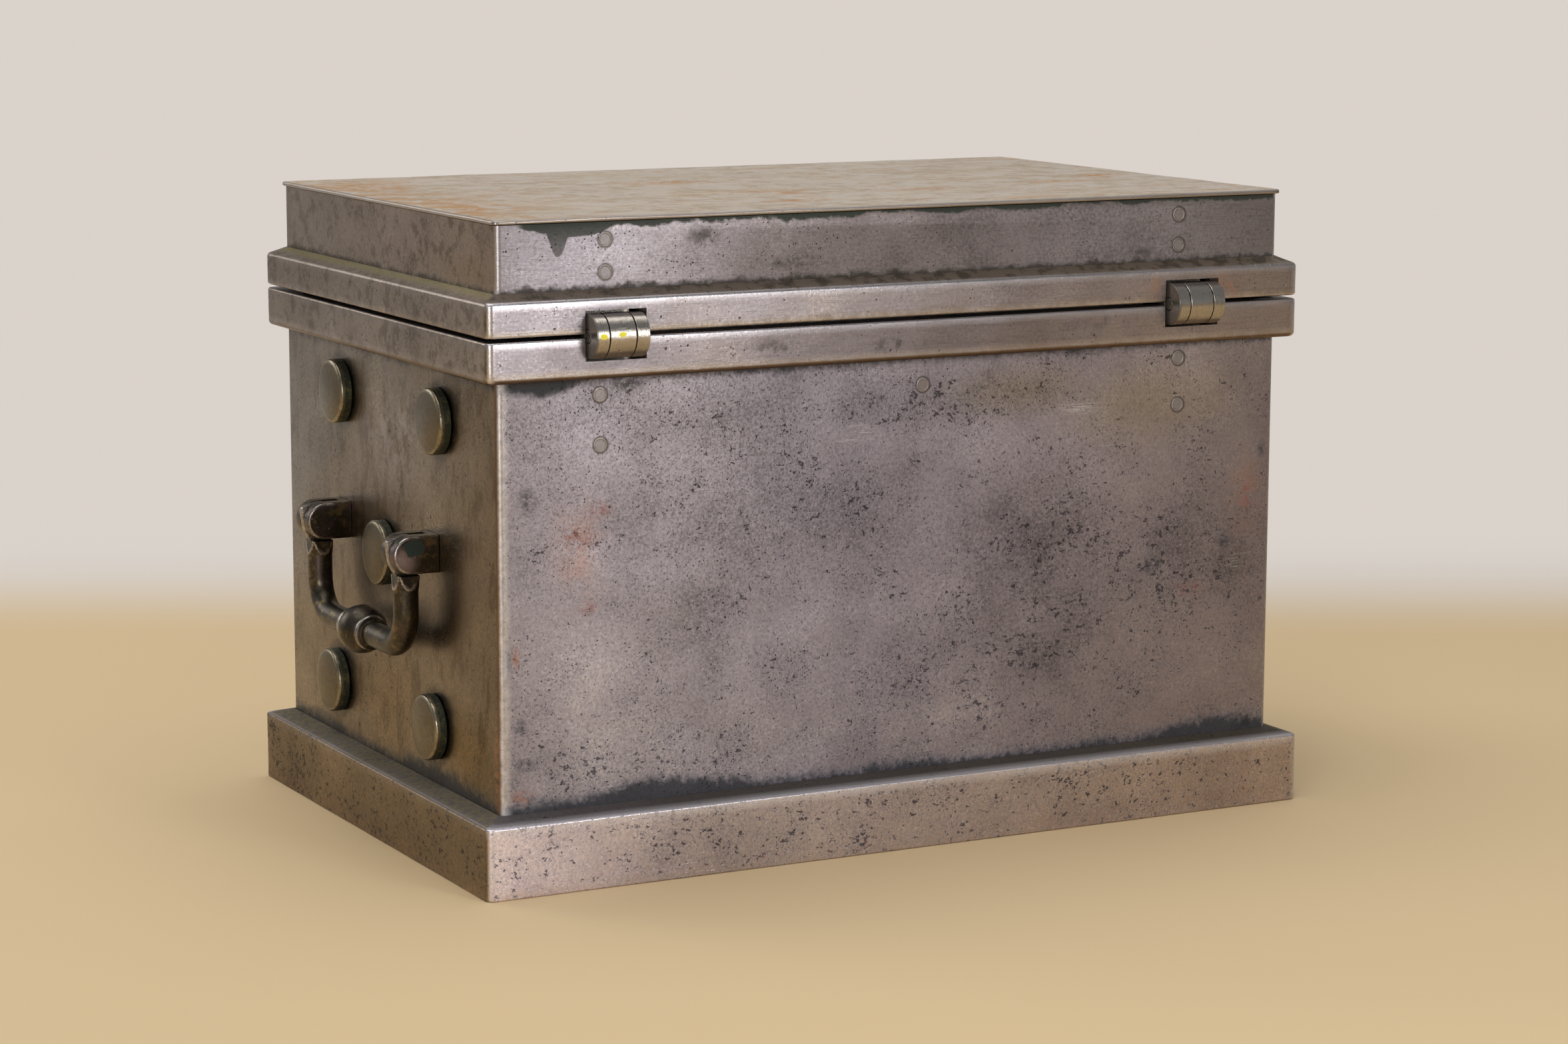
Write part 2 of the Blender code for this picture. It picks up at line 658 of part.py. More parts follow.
def leaf(name, side, knuckles, webs, strap_span, rivet_places, carrier=None):
    """A hinge leaf: a strap on the inner face, webs out through the pocket, and knuckles on the pin."""
    middle = HINGE_PLACES[side] + BARREL_SHIFTS[side]
    strap_y = INNER_Y - FIT
    half = BARREL_LENGTH / 2
    strap = box((middle - half, strap_y - LEAF_THICKNESS, strap_span[0]),
                (middle + half, strap_y, strap_span[1]))
    piece = solid(name, strap, "hinge_steel", carrier)
    inner = strap_y - LEAF_THICKNESS / 2 - HINGE_Y
    upper, lower = [180 - math.degrees(math.asin(edge / BARREL_RADIUS)) for edge in (webs[1], webs[0])]
    outline = arc((0, 0), BARREL_RADIUS, upper, lower - 360, ROUND_STEPS)
    outline += [(inner, webs[0]), (inner, webs[1])]
    across = Matrix(((0, 0, 1, middle), (1, 0, 0, HINGE_Y), (0, 1, 0, HINGE_Z), (0, 0, 0, 1)))
    for start, end in knuckles:
        combine(piece, prism(outline, start, end, across), "UNION")
    bore = rod((middle - half - PAST, HINGE_Y, HINGE_Z), (middle + half + PAST, HINGE_Y, HINGE_Z),
               HINGE_PIN_RADIUS + FIT, SMALL_STEPS)
    combine(piece, bore, "DIFFERENCE")
    riveted(piece, "back", rivet_places, LEAF_THICKNESS)


def hinge_rivet_places():
    """Where the hinge rivets go, as (x, z) lists for the lid and the body of each hinge."""
    lid = {side: [(LID_RIVET_X[side], LID_BOTTOM + rise) for rise in LID_RIVET_RISES]
           for side in HINGE_PLACES}
    body = {side: [(BODY_RIVET_X[side], BODY_HEIGHT - drop) for drop in BODY_RIVET_DROPS]
            for side in HINGE_PLACES}
    return lid, body


def build_hinges(lid_axis):
    """Two hinges with their pins and flush rivets."""
    lid_places, body_places = hinge_rivet_places()
    half = BARREL_LENGTH / 2
    inner = MIDDLE_KNUCKLE / 2
    outer_knuckles = ((-half, -inner - KNUCKLE_GAP), (inner + KNUCKLE_GAP, half))
    middle_knuckle = ((-inner, inner),)
    for side in HINGE_PLACES:
        leaf("hinge_body_leaf_" + side, side, outer_knuckles, (-LEAF_WEB, -FIT),
             (BODY_HEIGHT - LEAF_DROP, BODY_HEIGHT), body_places[side])
        leaf("hinge_lid_leaf_" + side, side, middle_knuckle, (FIT, LEAF_WEB),
             (LID_BOTTOM, LID_BOTTOM + LEAF_RISE), lid_places[side], lid_axis)
        middle = HINGE_PLACES[side] + BARREL_SHIFTS[side]
        pin = rod((middle - half, HINGE_Y, HINGE_Z), (middle + half, HINGE_Y, HINGE_Z), HINGE_PIN_RADIUS)
        solid("hinge_pin_" + side, pin, "hinge_steel")
    return lid_places, body_places


def rivet_holes(side, places, distance, plies):
    """Cutters for flush rivets through the plies of one side."""
    return [placed(hole(plies, RIVET_RADIUS), along(side, offset, height, distance))
            for offset, height in places]


def pocket(side, low, high):
    """The cutter of a hinge pocket through a rim and the wall behind it."""
    middle = HINGE_PLACES[side]
    half = HINGE_POCKET_WIDTH / 2
    return box((middle - half, INNER_Y - NEAR_PAST, low), (middle + half, HINGE_Y + PAST, high))


def build_lips():
    """Lip strips that stand up into the lid, and the rivets that hold them."""
    low, high = BODY_HEIGHT - LIP_DROP, BODY_HEIGHT + LIP_RISE
    depth = INNER_Y - FIT
    length = INNER_X - FIT
    end_half = INNER_Y - LIP_END_CLEARANCE
    front_start = LOCK_HALF_WIDTH + LIP_LOCK_CLEARANCE
    front_end = INNER_X - LIP_END_CLEARANCE
    spans = {
        "lip_back": ((-BACK_LIP_HALF, depth - LIP_THICKNESS), (BACK_LIP_HALF, depth)),
        "lip_right": ((length - LIP_THICKNESS, -end_half), (length, end_half)),
        "lip_left": ((-length, -end_half), (-length + LIP_THICKNESS, end_half)),
        "lip_front_right": ((front_start, -depth), (front_end, -depth + LIP_THICKNESS)),
        "lip_front_left": ((-front_end, -depth), (-front_start, -depth + LIP_THICKNESS)),
    }
    front_z = BODY_HEIGHT - LIP_RIVET_DROPS["right"]
    places = {
        "lip_back": ("back", BACK_LIP_RIVET_X, BODY_HEIGHT - LIP_RIVET_DROPS["back"], HALF_Y),
        "lip_right": ("right", 0.0, BODY_HEIGHT - LIP_RIVET_DROPS["right"], HALF_X),
        "lip_left": ("left", 0.0, BODY_HEIGHT - LIP_RIVET_DROPS["left"], HALF_X),
        "lip_front_right": ("front", FRONT_LIP_RIVET_X, front_z, HALF_Y),
        "lip_front_left": ("front", -FRONT_LIP_RIVET_X, front_z, HALF_Y),
    }
    for name, (start, end) in spans.items():
        strip = solid(name, box((start[0], start[1], low), (end[0], end[1], high)), "inner_iron")
        side, offset, height, distance = places[name]
        riveted(strip, side, [(offset, height)], LIP_THICKNESS)
    return places


def keyhole(low, high):
    """The cutter of the keyhole: a round hole with a slot below it, between two depths in Y."""
    radius, half = KEYHOLE_RADIUS, KEYHOLE_SLOT / 2
    start = math.degrees(math.asin(half / radius))
    outline = arc((0, 0), radius, -90 + start, 270 - start, 14)
    outline += [(-half, -KEYHOLE_DROP), (half, -KEYHOLE_DROP)]
    stand = Matrix(((1, 0, 0, 0), (0, 0, -1, 0), (0, 1, 0, KEY_AXIS_Z), (0, 0, 0, 1)))
    return prism(outline, -high, -low, stand)


def build_keyhole_cover():
    """A boss that hides the keyhole and swings aside on a pin near its upper edge."""
    pin_z = BOSS_MIDDLE_Z + COVER_PIN_RISE
    carrier = pivot("keyhole_cover_axis", Vector((0, -HALF_Y, pin_z)))
    seat = along("front", 0.0, BOSS_MIDDLE_Z, HALF_Y)
    disc = placed(turned(boss_profile(False), BOSS_STEPS), seat)
    cover = solid("keyhole_cover", disc, "boss_steel", carrier)
    pin_seat = along("front", 0.0, pin_z, HALF_Y)
    bore = placed(hole(2 * PAST, COVER_PIN_RADIUS), pin_seat)
    combine(cover, bore, "DIFFERENCE")
    top = BOSS_SIDE + FIT
    inside = -(WALL + FIT + LOCK_PLATE + FIT)
    profile = [(0, top), (COVER_PIN_RADIUS, top), (COVER_PIN_RADIUS, inside), (COVER_PIN_RADIUS * 2, inside),
               (COVER_PIN_RADIUS * 1.5, inside - RIVET_HEAD_HEIGHT), (0, inside - RIVET_HEAD_HEIGHT)]
    solid("keyhole_cover_pin", placed(turned(profile, SMALL_STEPS), pin_seat), "boss_steel")
    return bore


def lock_rivet_places():
    """The four corners where the lock plate is riveted to the front wall."""
    return [(sign * (LOCK_HALF_WIDTH - LOCK_RIVET_INSET), height) for sign in (-1, 1)
            for height in (LOCK_BOTTOM + LOCK_RIVET_INSET, LOCK_TOP - LOCK_RIVET_INSET)]


def headed_pin(radius, run, head, head_height):
    """A pin about Z that starts at zero, with a head after its run."""
    return turned([(0, 0), (radius, 0), (radius, run), (head, run), (head - HEAD_BEVEL, run + head_height),
                   (0, run + head_height)], SMALL_STEPS)


def build_lock_case(cover_bore):
    """Lock plate, cap, rivets, screws, key post and ward."""
    plate = solid("lock_plate", box((-LOCK_HALF_WIDTH, -INNER_Y + FIT, LOCK_BOTTOM),
                                    (LOCK_HALF_WIDTH, LOCK_FACE_Y, LOCK_TOP)), "inner_iron")
    screw_frames = [Matrix.Translation((sign * LOCK_SCREW_X, 0, z))
                    for sign in (-1, 1) for z in LOCK_SCREW_ZS]
    back_y = CAP_Y + LOCK_CAP_DEPTH
    screw_start = LOCK_FACE_Y - LOCK_PLATE
    screw_bore = rod((0, screw_start - PAST, 0), (0, back_y + PAST, 0), SCREW_RADIUS + FIT, 8)
    screw_holes = [placed(screw_bore, frame) for frame in screw_frames]
    cutters = screw_holes + [keyhole(-INNER_Y - NEAR_PAST, LOCK_FACE_Y + NEAR_PAST), cover_bore]
    combine(plate, group(cutters), "DIFFERENCE")
    riveted(plate, "front", lock_rivet_places(), LOCK_PLATE)

    half = LOCK_HALF_WIDTH - LOCK_CAP_INSET
    low, high = LOCK_BOTTOM + LOCK_CAP_INSET, LOCK_TOP - LOCK_CAP_INSET
    skin = LOCK_CAP_WALL
    cap = solid("lock_cap", box((-half, CAP_Y, low), (half, back_y, high)), "inner_iron")
    hollow = box((-half + skin, CAP_Y - PAST, low + skin), (half - skin, back_y - skin, high - skin))
    combine(cap, hollow, "DIFFERENCE")
    mouth_half = STAPLE_THICKNESS / 2 + STAPLE_MOUTH_MARGIN
    mouth = box((-mouth_half, CAP_Y - PAST, high - skin - NEAR_PAST),
                (mouth_half, back_y - skin - FIT, high + PAST))
    post_bore = rod((0, back_y - skin - NEAR_PAST, KEY_AXIS_Z), (0, back_y + PAST, KEY_AXIS_Z),
                    KEY_POST_RADIUS + FIT)
    combine(cap, group([mouth, post_bore] + screw_holes), "DIFFERENCE")

    head = SCREW_HEAD_HEIGHT
    inward = Matrix.Rotation(math.radians(-90), 4, "X")
    screw = headed_pin(SCREW_RADIUS, back_y + FIT - screw_start, SCREW_HEAD, head)
    for number, frame in enumerate(screw_frames, 1):
        place = frame @ Matrix.Translation((0, screw_start, 0)) @ inward
        solid("lock_screw_" + str(number), placed(screw, place), "inner_iron")

    post_start = LOCK_FACE_Y + KEY_POST_GAP
    post = headed_pin(KEY_POST_RADIUS, back_y + FIT - post_start, KEY_POST_HEAD, head)
    solid("key_post", placed(post, Matrix.Translation((0, post_start, KEY_AXIS_Z)) @ inward), "inner_iron")

    ward_back = back_y - skin - FIT
    ward = solid("lock_ward", rod((0, ward_back - WARD_DEPTH, KEY_AXIS_Z), (0, ward_back, KEY_AXIS_Z),
                                  WARD_RADIUS, 16), "inner_iron")
    combine(ward, rod((0, ward_back - PAST, KEY_AXIS_Z), (0, ward_back + PAST, KEY_AXIS_Z),
                      WARD_RADIUS - WARD_WALL, 16), "DIFFERENCE")


def build_bolt():
    """The bolt, its guides, its spring, and the lever that the key turns to throw it."""
    half_t = BOLT_THICKNESS / 2
    low, high = BOLT_MIDDLE_Z - BOLT_HEIGHT / 2, BOLT_MIDDLE_Z + BOLT_HEIGHT / 2
    nose = -STAPLE_THICKNESS / 2 - BOLT_NOSE_GAP
    carrier = pivot("lock_bolt_slide", Vector((nose, BOLT_Y, BOLT_MIDDLE_Z)))
    bolt = solid("lock_bolt", box((nose - BOLT_LENGTH, BOLT_Y - half_t, low), (nose, BOLT_Y + half_t, high)),
                 "inner_iron", carrier)
    notch_x = LEVER_PIVOT_X - BOLT_TRAVEL / 2
    notch_half = LEVER_FINGER + FIT * 1.5
    combine(bolt, box((notch_x - notch_half, BOLT_Y - PAST, low - PAST),
                      (notch_x + notch_half, BOLT_Y + PAST, low + BOLT_NOTCH_DEPTH)), "DIFFERENCE")
    half_g = GUIDE_THICKNESS / 2
    seat = LOCK_FACE_Y + FIT
    strip_top = low - GUIDE_STRIP_DROP
    strip_low = strip_top - GUIDE_STRIP_HEIGHT
    strip = box((GUIDE_PLACES[0] - half_g, seat, strip_low),
                (GUIDE_PLACES[-1] + half_g, seat + GUIDE_STRIP, strip_top))
    frame = solid("bolt_guides", strip, "inner_iron")
    for middle in GUIDE_PLACES:
        leg = box((middle - half_g, seat, strip_low), (middle + half_g, seat + GUIDE_STRIP, high))
        combine(frame, leg, "UNION")
        eye = box((middle - half_g, seat, low - GUIDE_MARGIN),
                  (middle + half_g, BOLT_Y + half_t + GUIDE_MARGIN, high + GUIDE_MARGIN))
        combine(frame, eye, "UNION")
    window = box((GUIDE_PLACES[0] - PAST, BOLT_Y - half_t - FIT, low - FIT),
                 (GUIDE_PLACES[-1] + PAST, BOLT_Y + half_t + FIT, high + FIT))
    combine(frame, window, "DIFFERENCE")

    rise = high + FIT
    chord = SPRING_LENGTH / 2
    radius = (chord * chord + SPRING_BOW * SPRING_BOW) / (2 * SPRING_BOW)
    spread = math.degrees(math.asin(chord / radius))
    centre = (SPRING_PLACE, rise + SPRING_BOW - radius)
    outline = arc(centre, radius, 90 + spread, 90 - spread, 8)
    outline += arc(centre, radius + SPRING_THICKNESS, 90 - spread, 90 + spread, 8)
    stand = Matrix(((1, 0, 0, 0), (0, 0, -1, BOLT_Y), (0, 1, 0, 0), (0, 0, 0, 1)))
    solid("bolt_spring", prism(outline, -half_t, half_t, stand), "inner_iron", carrier)


def build_lever():
    """The lever that the key turns: its finger moves the bolt, and its forked tail takes the key's bit."""
    place = Vector((LEVER_PIVOT_X, BOLT_Y, LEVER_PIVOT_Z))
    carrier = pivot("lock_lever_axis", place)
    half = LEVER_THICKNESS / 2
    stand = Matrix.Translation(place) @ Matrix.Rotation(math.radians(90), 4, "X")
    tilt = math.degrees(LEVER_TILT)
    to_key = Vector((-LEVER_PIVOT_X, KEY_AXIS_Z - LEVER_PIVOT_Z))
    tail = to_key.length - KEY_REACH
    aim = math.degrees(math.atan2(to_key.y, to_key.x)) + tilt
    hub = arc((0, 0), LEVER_HUB, 0, 342, 19)
    lever = solid("lock_lever", prism(hub, -half, half, stand), "inner_iron", carrier)
    for length, radius, aim_angle in ((LEVER_ARM, LEVER_FINGER, 90 + tilt), (tail, LEVER_TAIL_RADIUS, aim)):
        end = (length * math.cos(math.radians(aim_angle)), length * math.sin(math.radians(aim_angle)))
        outline = arc(end, radius, aim_angle - 90, aim_angle + 90, 8)
        outline += arc((0, 0), LEVER_WEB, aim_angle + 90, aim_angle + 270, 4)
        combine(lever, prism(outline, -half, half, stand), "UNION")
    fork = box((tail + LEVER_TAIL_RADIUS - LEVER_FORK_DEPTH, -LEVER_FORK / 2, -PAST),
               (tail + LEVER_TAIL_RADIUS + PAST, LEVER_FORK / 2, PAST))
    fork = placed(fork, stand @ Matrix.Rotation(math.radians(aim), 4, "Z"))
    bore = rod(place - Vector((0, PAST, 0)), place + Vector((0, PAST, 0)), LEVER_PIN_RADIUS + FIT)
    combine(lever, group([bore, fork]), "DIFFERENCE")
    start = LOCK_FACE_Y + FIT
    collar = BOLT_Y - half - FIT - start
    run = CAP_Y + LOCK_CAP_DEPTH - LOCK_CAP_WALL - FIT - start
    pin = turned([(0, 0), (LEVER_PIN_COLLAR, 0), (LEVER_PIN_COLLAR, collar), (LEVER_PIN_RADIUS, collar),
                  (LEVER_PIN_RADIUS, run), (0, run)], SMALL_STEPS)
    inward = Matrix.Translation((place.x, start, place.z)) @ Matrix.Rotation(math.radians(-90), 4, "X")
    solid("lever_pin", placed(pin, inward), "inner_iron")


def build_staple(lid_axis):
    """The staple that hangs from the lid's front side into the lock, with its rivets."""
    face = -INNER_Y + FIT
    inner = BOLT_Y + STAPLE_DEPTH / 2
    outer = BOLT_Y - STAPLE_DEPTH / 2
    bottom = BODY_HEIGHT - STAPLE_DROP
    strap_low, strap_high = LID_BOTTOM + STRAP_BOTTOM, LID_BOTTOM + STRAP_TOP
    neck = LID_BOTTOM + STAPLE_NECK
    outline = [(outer, bottom), (inner, bottom), (inner, neck), (face + STRAP_THICKNESS / 2, neck),
               (face + STRAP_THICKNESS / 2, strap_low + FIT), (outer, strap_low - STRAP_THICKNESS)]
    stand = Matrix(((0, 0, 1, 0), (1, 0, 0, 0), (0, 1, 0, 0), (0, 0, 0, 1)))
    half = STAPLE_THICKNESS / 2
    strap = box((-STRAP_HALF_WIDTH, face, strap_low), (STRAP_HALF_WIDTH, face + STRAP_THICKNESS, strap_high))
    staple = solid("lid_staple", strap, "inner_iron", lid_axis)
    combine(staple, prism(outline, -half, half, stand), "UNION")
    eye_y = BOLT_THICKNESS / 2 + STAPLE_EYE_MARGIN_Y
    eye_z = BOLT_HEIGHT / 2 + STAPLE_EYE_MARGIN_Z
    eye = box((-PAST, BOLT_Y - eye_y, BOLT_MIDDLE_Z - eye_z), (PAST, BOLT_Y + eye_y, BOLT_MIDDLE_Z + eye_z))
    combine(staple, eye, "DIFFERENCE")
    places = [(sign * STAPLE_RIVET_X, LID_BOTTOM + STAPLE_RIVET_RISE) for sign in (-1, 1)]
    riveted(staple, "front", places, STRAP_THICKNESS)
    return places


def build_body(body_rivets, lip_places, boss_holes, lug_holes, cover_bore):
    """Bottom, folded sheet, front, plinth and rim, with every hole that the fittings need."""
    inner_x, inner_y = INNER_X - FIT, INNER_Y - FIT
    solid("bottom_plate", box((-inner_x, -inner_y, 0), (inner_x, inner_y, BOTTOM_THICKNESS)), "inner_iron")
    sheet = solid("body_sheet", folded_sheet(0, BODY_HEIGHT), "back_steel")
    front = solid("body_front", front_sheet(0, BODY_HEIGHT), "back_steel")
    cuts = {side: list(boss_holes.get(side, [])) + list(lug_holes.get(side, [])) for side in SIDES}
    for side, offset, height, distance in lip_places.values():
        cuts[side] += rivet_holes(side, [(offset, height)], distance, WALL + NEAR_PAST)
    for places in body_rivets.values():
        cuts["back"] += rivet_holes("back", places, HALF_Y, WALL + NEAR_PAST)
    pockets = [pocket(side, HINGE_Z - HINGE_POCKET_HEIGHT / 2, BODY_HEIGHT + PAST) for side in HINGE_PLACES]
    cuts["front"] += rivet_holes("front", lock_rivet_places(), HALF_Y, WALL + NEAR_PAST)
    cuts["front"] += [keyhole(-HALF_Y - NEAR_PAST, -INNER_Y + NEAR_PAST), cover_bore]
    combine(sheet, group(cuts["back"] + cuts["right"] + cuts["left"] + pockets), "DIFFERENCE")
    combine(front, group(cuts["front"]), "DIFFERENCE")
    plinth = bar_section(PLINTH_OVERHANG, 0.0, PLINTH_HEIGHT, PLINTH_RISE, PLINTH_EDGE, PLINTH_EDGE)
    solid("plinth", moulding(plinth, PLINTH_CORNER), "back_steel")
    section = bar_section(RIM_OVERHANG, BODY_HEIGHT - BODY_RIM_HEIGHT, BODY_HEIGHT, 0.0, RIM_ROUND, RIM_EDGE)
    rim = solid("body_rim", moulding(section, RIM_CORNER), "back_steel")
    combine(rim, group(pockets), "DIFFERENCE")


def build_lid(lid_axis, lid_rivets, staple_places):
    """Lid sheet, front, rim and top plate."""
    sheet = solid("lid_sheet", folded_sheet(LID_BOTTOM, LID_TOP - FIT), "back_steel", lid_axis)
    front = solid("lid_front", front_sheet(LID_BOTTOM, LID_TOP - FIT), "back_steel", lid_axis)
    pockets = [pocket(side, LID_BOTTOM - PAST, HINGE_Z + HINGE_POCKET_HEIGHT / 2) for side in HINGE_PLACES]
    cuts = list(pockets)
    for places in lid_rivets.values():
        cuts += rivet_holes("back", places, HALF_Y, WALL + NEAR_PAST)
    combine(sheet, group(cuts), "DIFFERENCE")
    combine(front, group(rivet_holes("front", staple_places, HALF_Y, WALL + NEAR_PAST)), "DIFFERENCE")
    section = bar_section(RIM_OVERHANG, LID_BOTTOM, LID_BOTTOM + LID_RIM_HEIGHT, LID_RIM_RISE,
                          RIM_EDGE, RIM_ROUND)
    rim = solid("lid_rim", moulding(section, RIM_CORNER), "back_steel", lid_axis)
    combine(rim, group(pockets), "DIFFERENCE")
    outline = rounded_rectangle(HALF_X + TOP_OVERHANG, HALF_Y + TOP_OVERHANG, TOP_CORNER)
    top = solid("top_plate", prism(outline, LID_TOP, LID_TOP + TOP_THICKNESS), "top_steel", lid_axis)
    edges = top.modifiers.new("rounded_edges", "BEVEL")
    edges.width = TOP_EDGE
    edges.segments = 2
    edges.limit_method = "ANGLE"
    edges.angle_limit = math.radians(60)


for old in list(bpy.data.objects):
    bpy.data.objects.remove(old)
PARTS = new_collection("strongbox")
CUTTERS = new_collection("cutters")

LID_AXIS = pivot("lid_axis", Vector((0, HINGE_Y, HINGE_Z)))
BOSS_HOLES = build_bosses()
LUG_HOLES = {side: build_lugs(side) for side in ("right", "left")}
LID_RIVETS, BODY_RIVETS = build_hinges(LID_AXIS)
LIP_PLACES = build_lips()
COVER_BORE = build_keyhole_cover()
build_lock_case(COVER_BORE)
build_bolt()
build_lever()
STAPLE_PLACES = build_staple(LID_AXIS)
build_body(BODY_RIVETS, LIP_PLACES, BOSS_HOLES, LUG_HOLES, COVER_BORE)
build_lid(LID_AXIS, LID_RIVETS, STAPLE_PLACES)
for bail_side in ("right", "left"):
    build_bail(bail_side)
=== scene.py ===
import math

import bmesh
import bpy
from mathutils import Matrix, Vector, noise


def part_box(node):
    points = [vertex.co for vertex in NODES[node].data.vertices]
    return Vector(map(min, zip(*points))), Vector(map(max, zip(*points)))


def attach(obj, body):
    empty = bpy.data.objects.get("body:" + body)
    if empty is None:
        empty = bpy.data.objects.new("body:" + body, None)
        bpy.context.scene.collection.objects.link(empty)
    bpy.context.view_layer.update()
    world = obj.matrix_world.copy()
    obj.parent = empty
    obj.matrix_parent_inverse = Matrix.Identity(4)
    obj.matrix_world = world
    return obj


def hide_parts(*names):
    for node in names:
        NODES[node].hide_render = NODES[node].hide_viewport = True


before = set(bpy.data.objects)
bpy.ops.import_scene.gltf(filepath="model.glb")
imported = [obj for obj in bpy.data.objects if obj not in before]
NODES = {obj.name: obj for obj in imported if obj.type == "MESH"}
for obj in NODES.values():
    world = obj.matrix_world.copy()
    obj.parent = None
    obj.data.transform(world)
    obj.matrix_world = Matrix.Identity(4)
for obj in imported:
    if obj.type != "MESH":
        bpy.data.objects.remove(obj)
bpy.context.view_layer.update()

# Sizes of the box in millimetres, as in the part
HALF_X = 200.0
HALF_Y = 126.4
WALL_CORNER = 2.8
FIT = 0.3
LID_TOP = 290.9
PLATE_TOP = 293.1
PLATE_OVERHANG = 1.6
PIVOT_OUT = 13.0
PIVOT_Z = 140.3
HANDLE_SPAN = 53.0
HINGE_POCKETS = ((147.1, 29.0), (-147.9, 29.0))
POCKET_Z = (231.65, 253.45)

# Flush rivets as (side, along the wall, height)
BODY_RIVETS = (("back", 151.4, 216.0), ("back", 151.4, 194.1), ("back", -146.0, 216.0),
               ("back", -146.0, 194.1), ("back", -8.8, 211.2), ("right", 0.0, 216.3),
               ("left", 0.0, 216.3), ("front", 128.0, 216.3), ("front", -128.0, 216.3))
LID_RIVETS = (("back", 148.6, 268.9), ("back", 148.6, 283.0), ("back", -145.0, 268.9),
              ("back", -145.0, 283.0))

# Fittings
BOSS_RADIUS = 15.0
BOSS_FACE = 6.1
BOSS_CROWN = 7.2
BOSS_ROUND = 1.5
LUG_RADIUS = 8.65
LUG_WIDTH = 16.7
LUG_EDGE = 1.3
LUG_SLOT = 4.4
SLOT_DEPTH = 9.05
BAR_RADIUS = 5.9
BAR_BEND = 16.5
BAR_DROP = 43.2
BALL_RADIUS = 11.3
EYE_RADIUS = 8.45
EYE_HALF_WIDTH = 1.8
PLINTH_OUT = 11.4
RIM_OUT = 7.7
EDGE_ANGLE = 34.0

# Camera, from the photograph, in metres and degrees
CAMERA_PLACE = (0.840874, 1.607444, 0.427748)
CAMERA_YAW = -117.74711
CAMERA_PITCH = -9.29781
CAMERA_ROLL = 0.1195
CAMERA_LENS = 87.63
SENSOR = 36.0


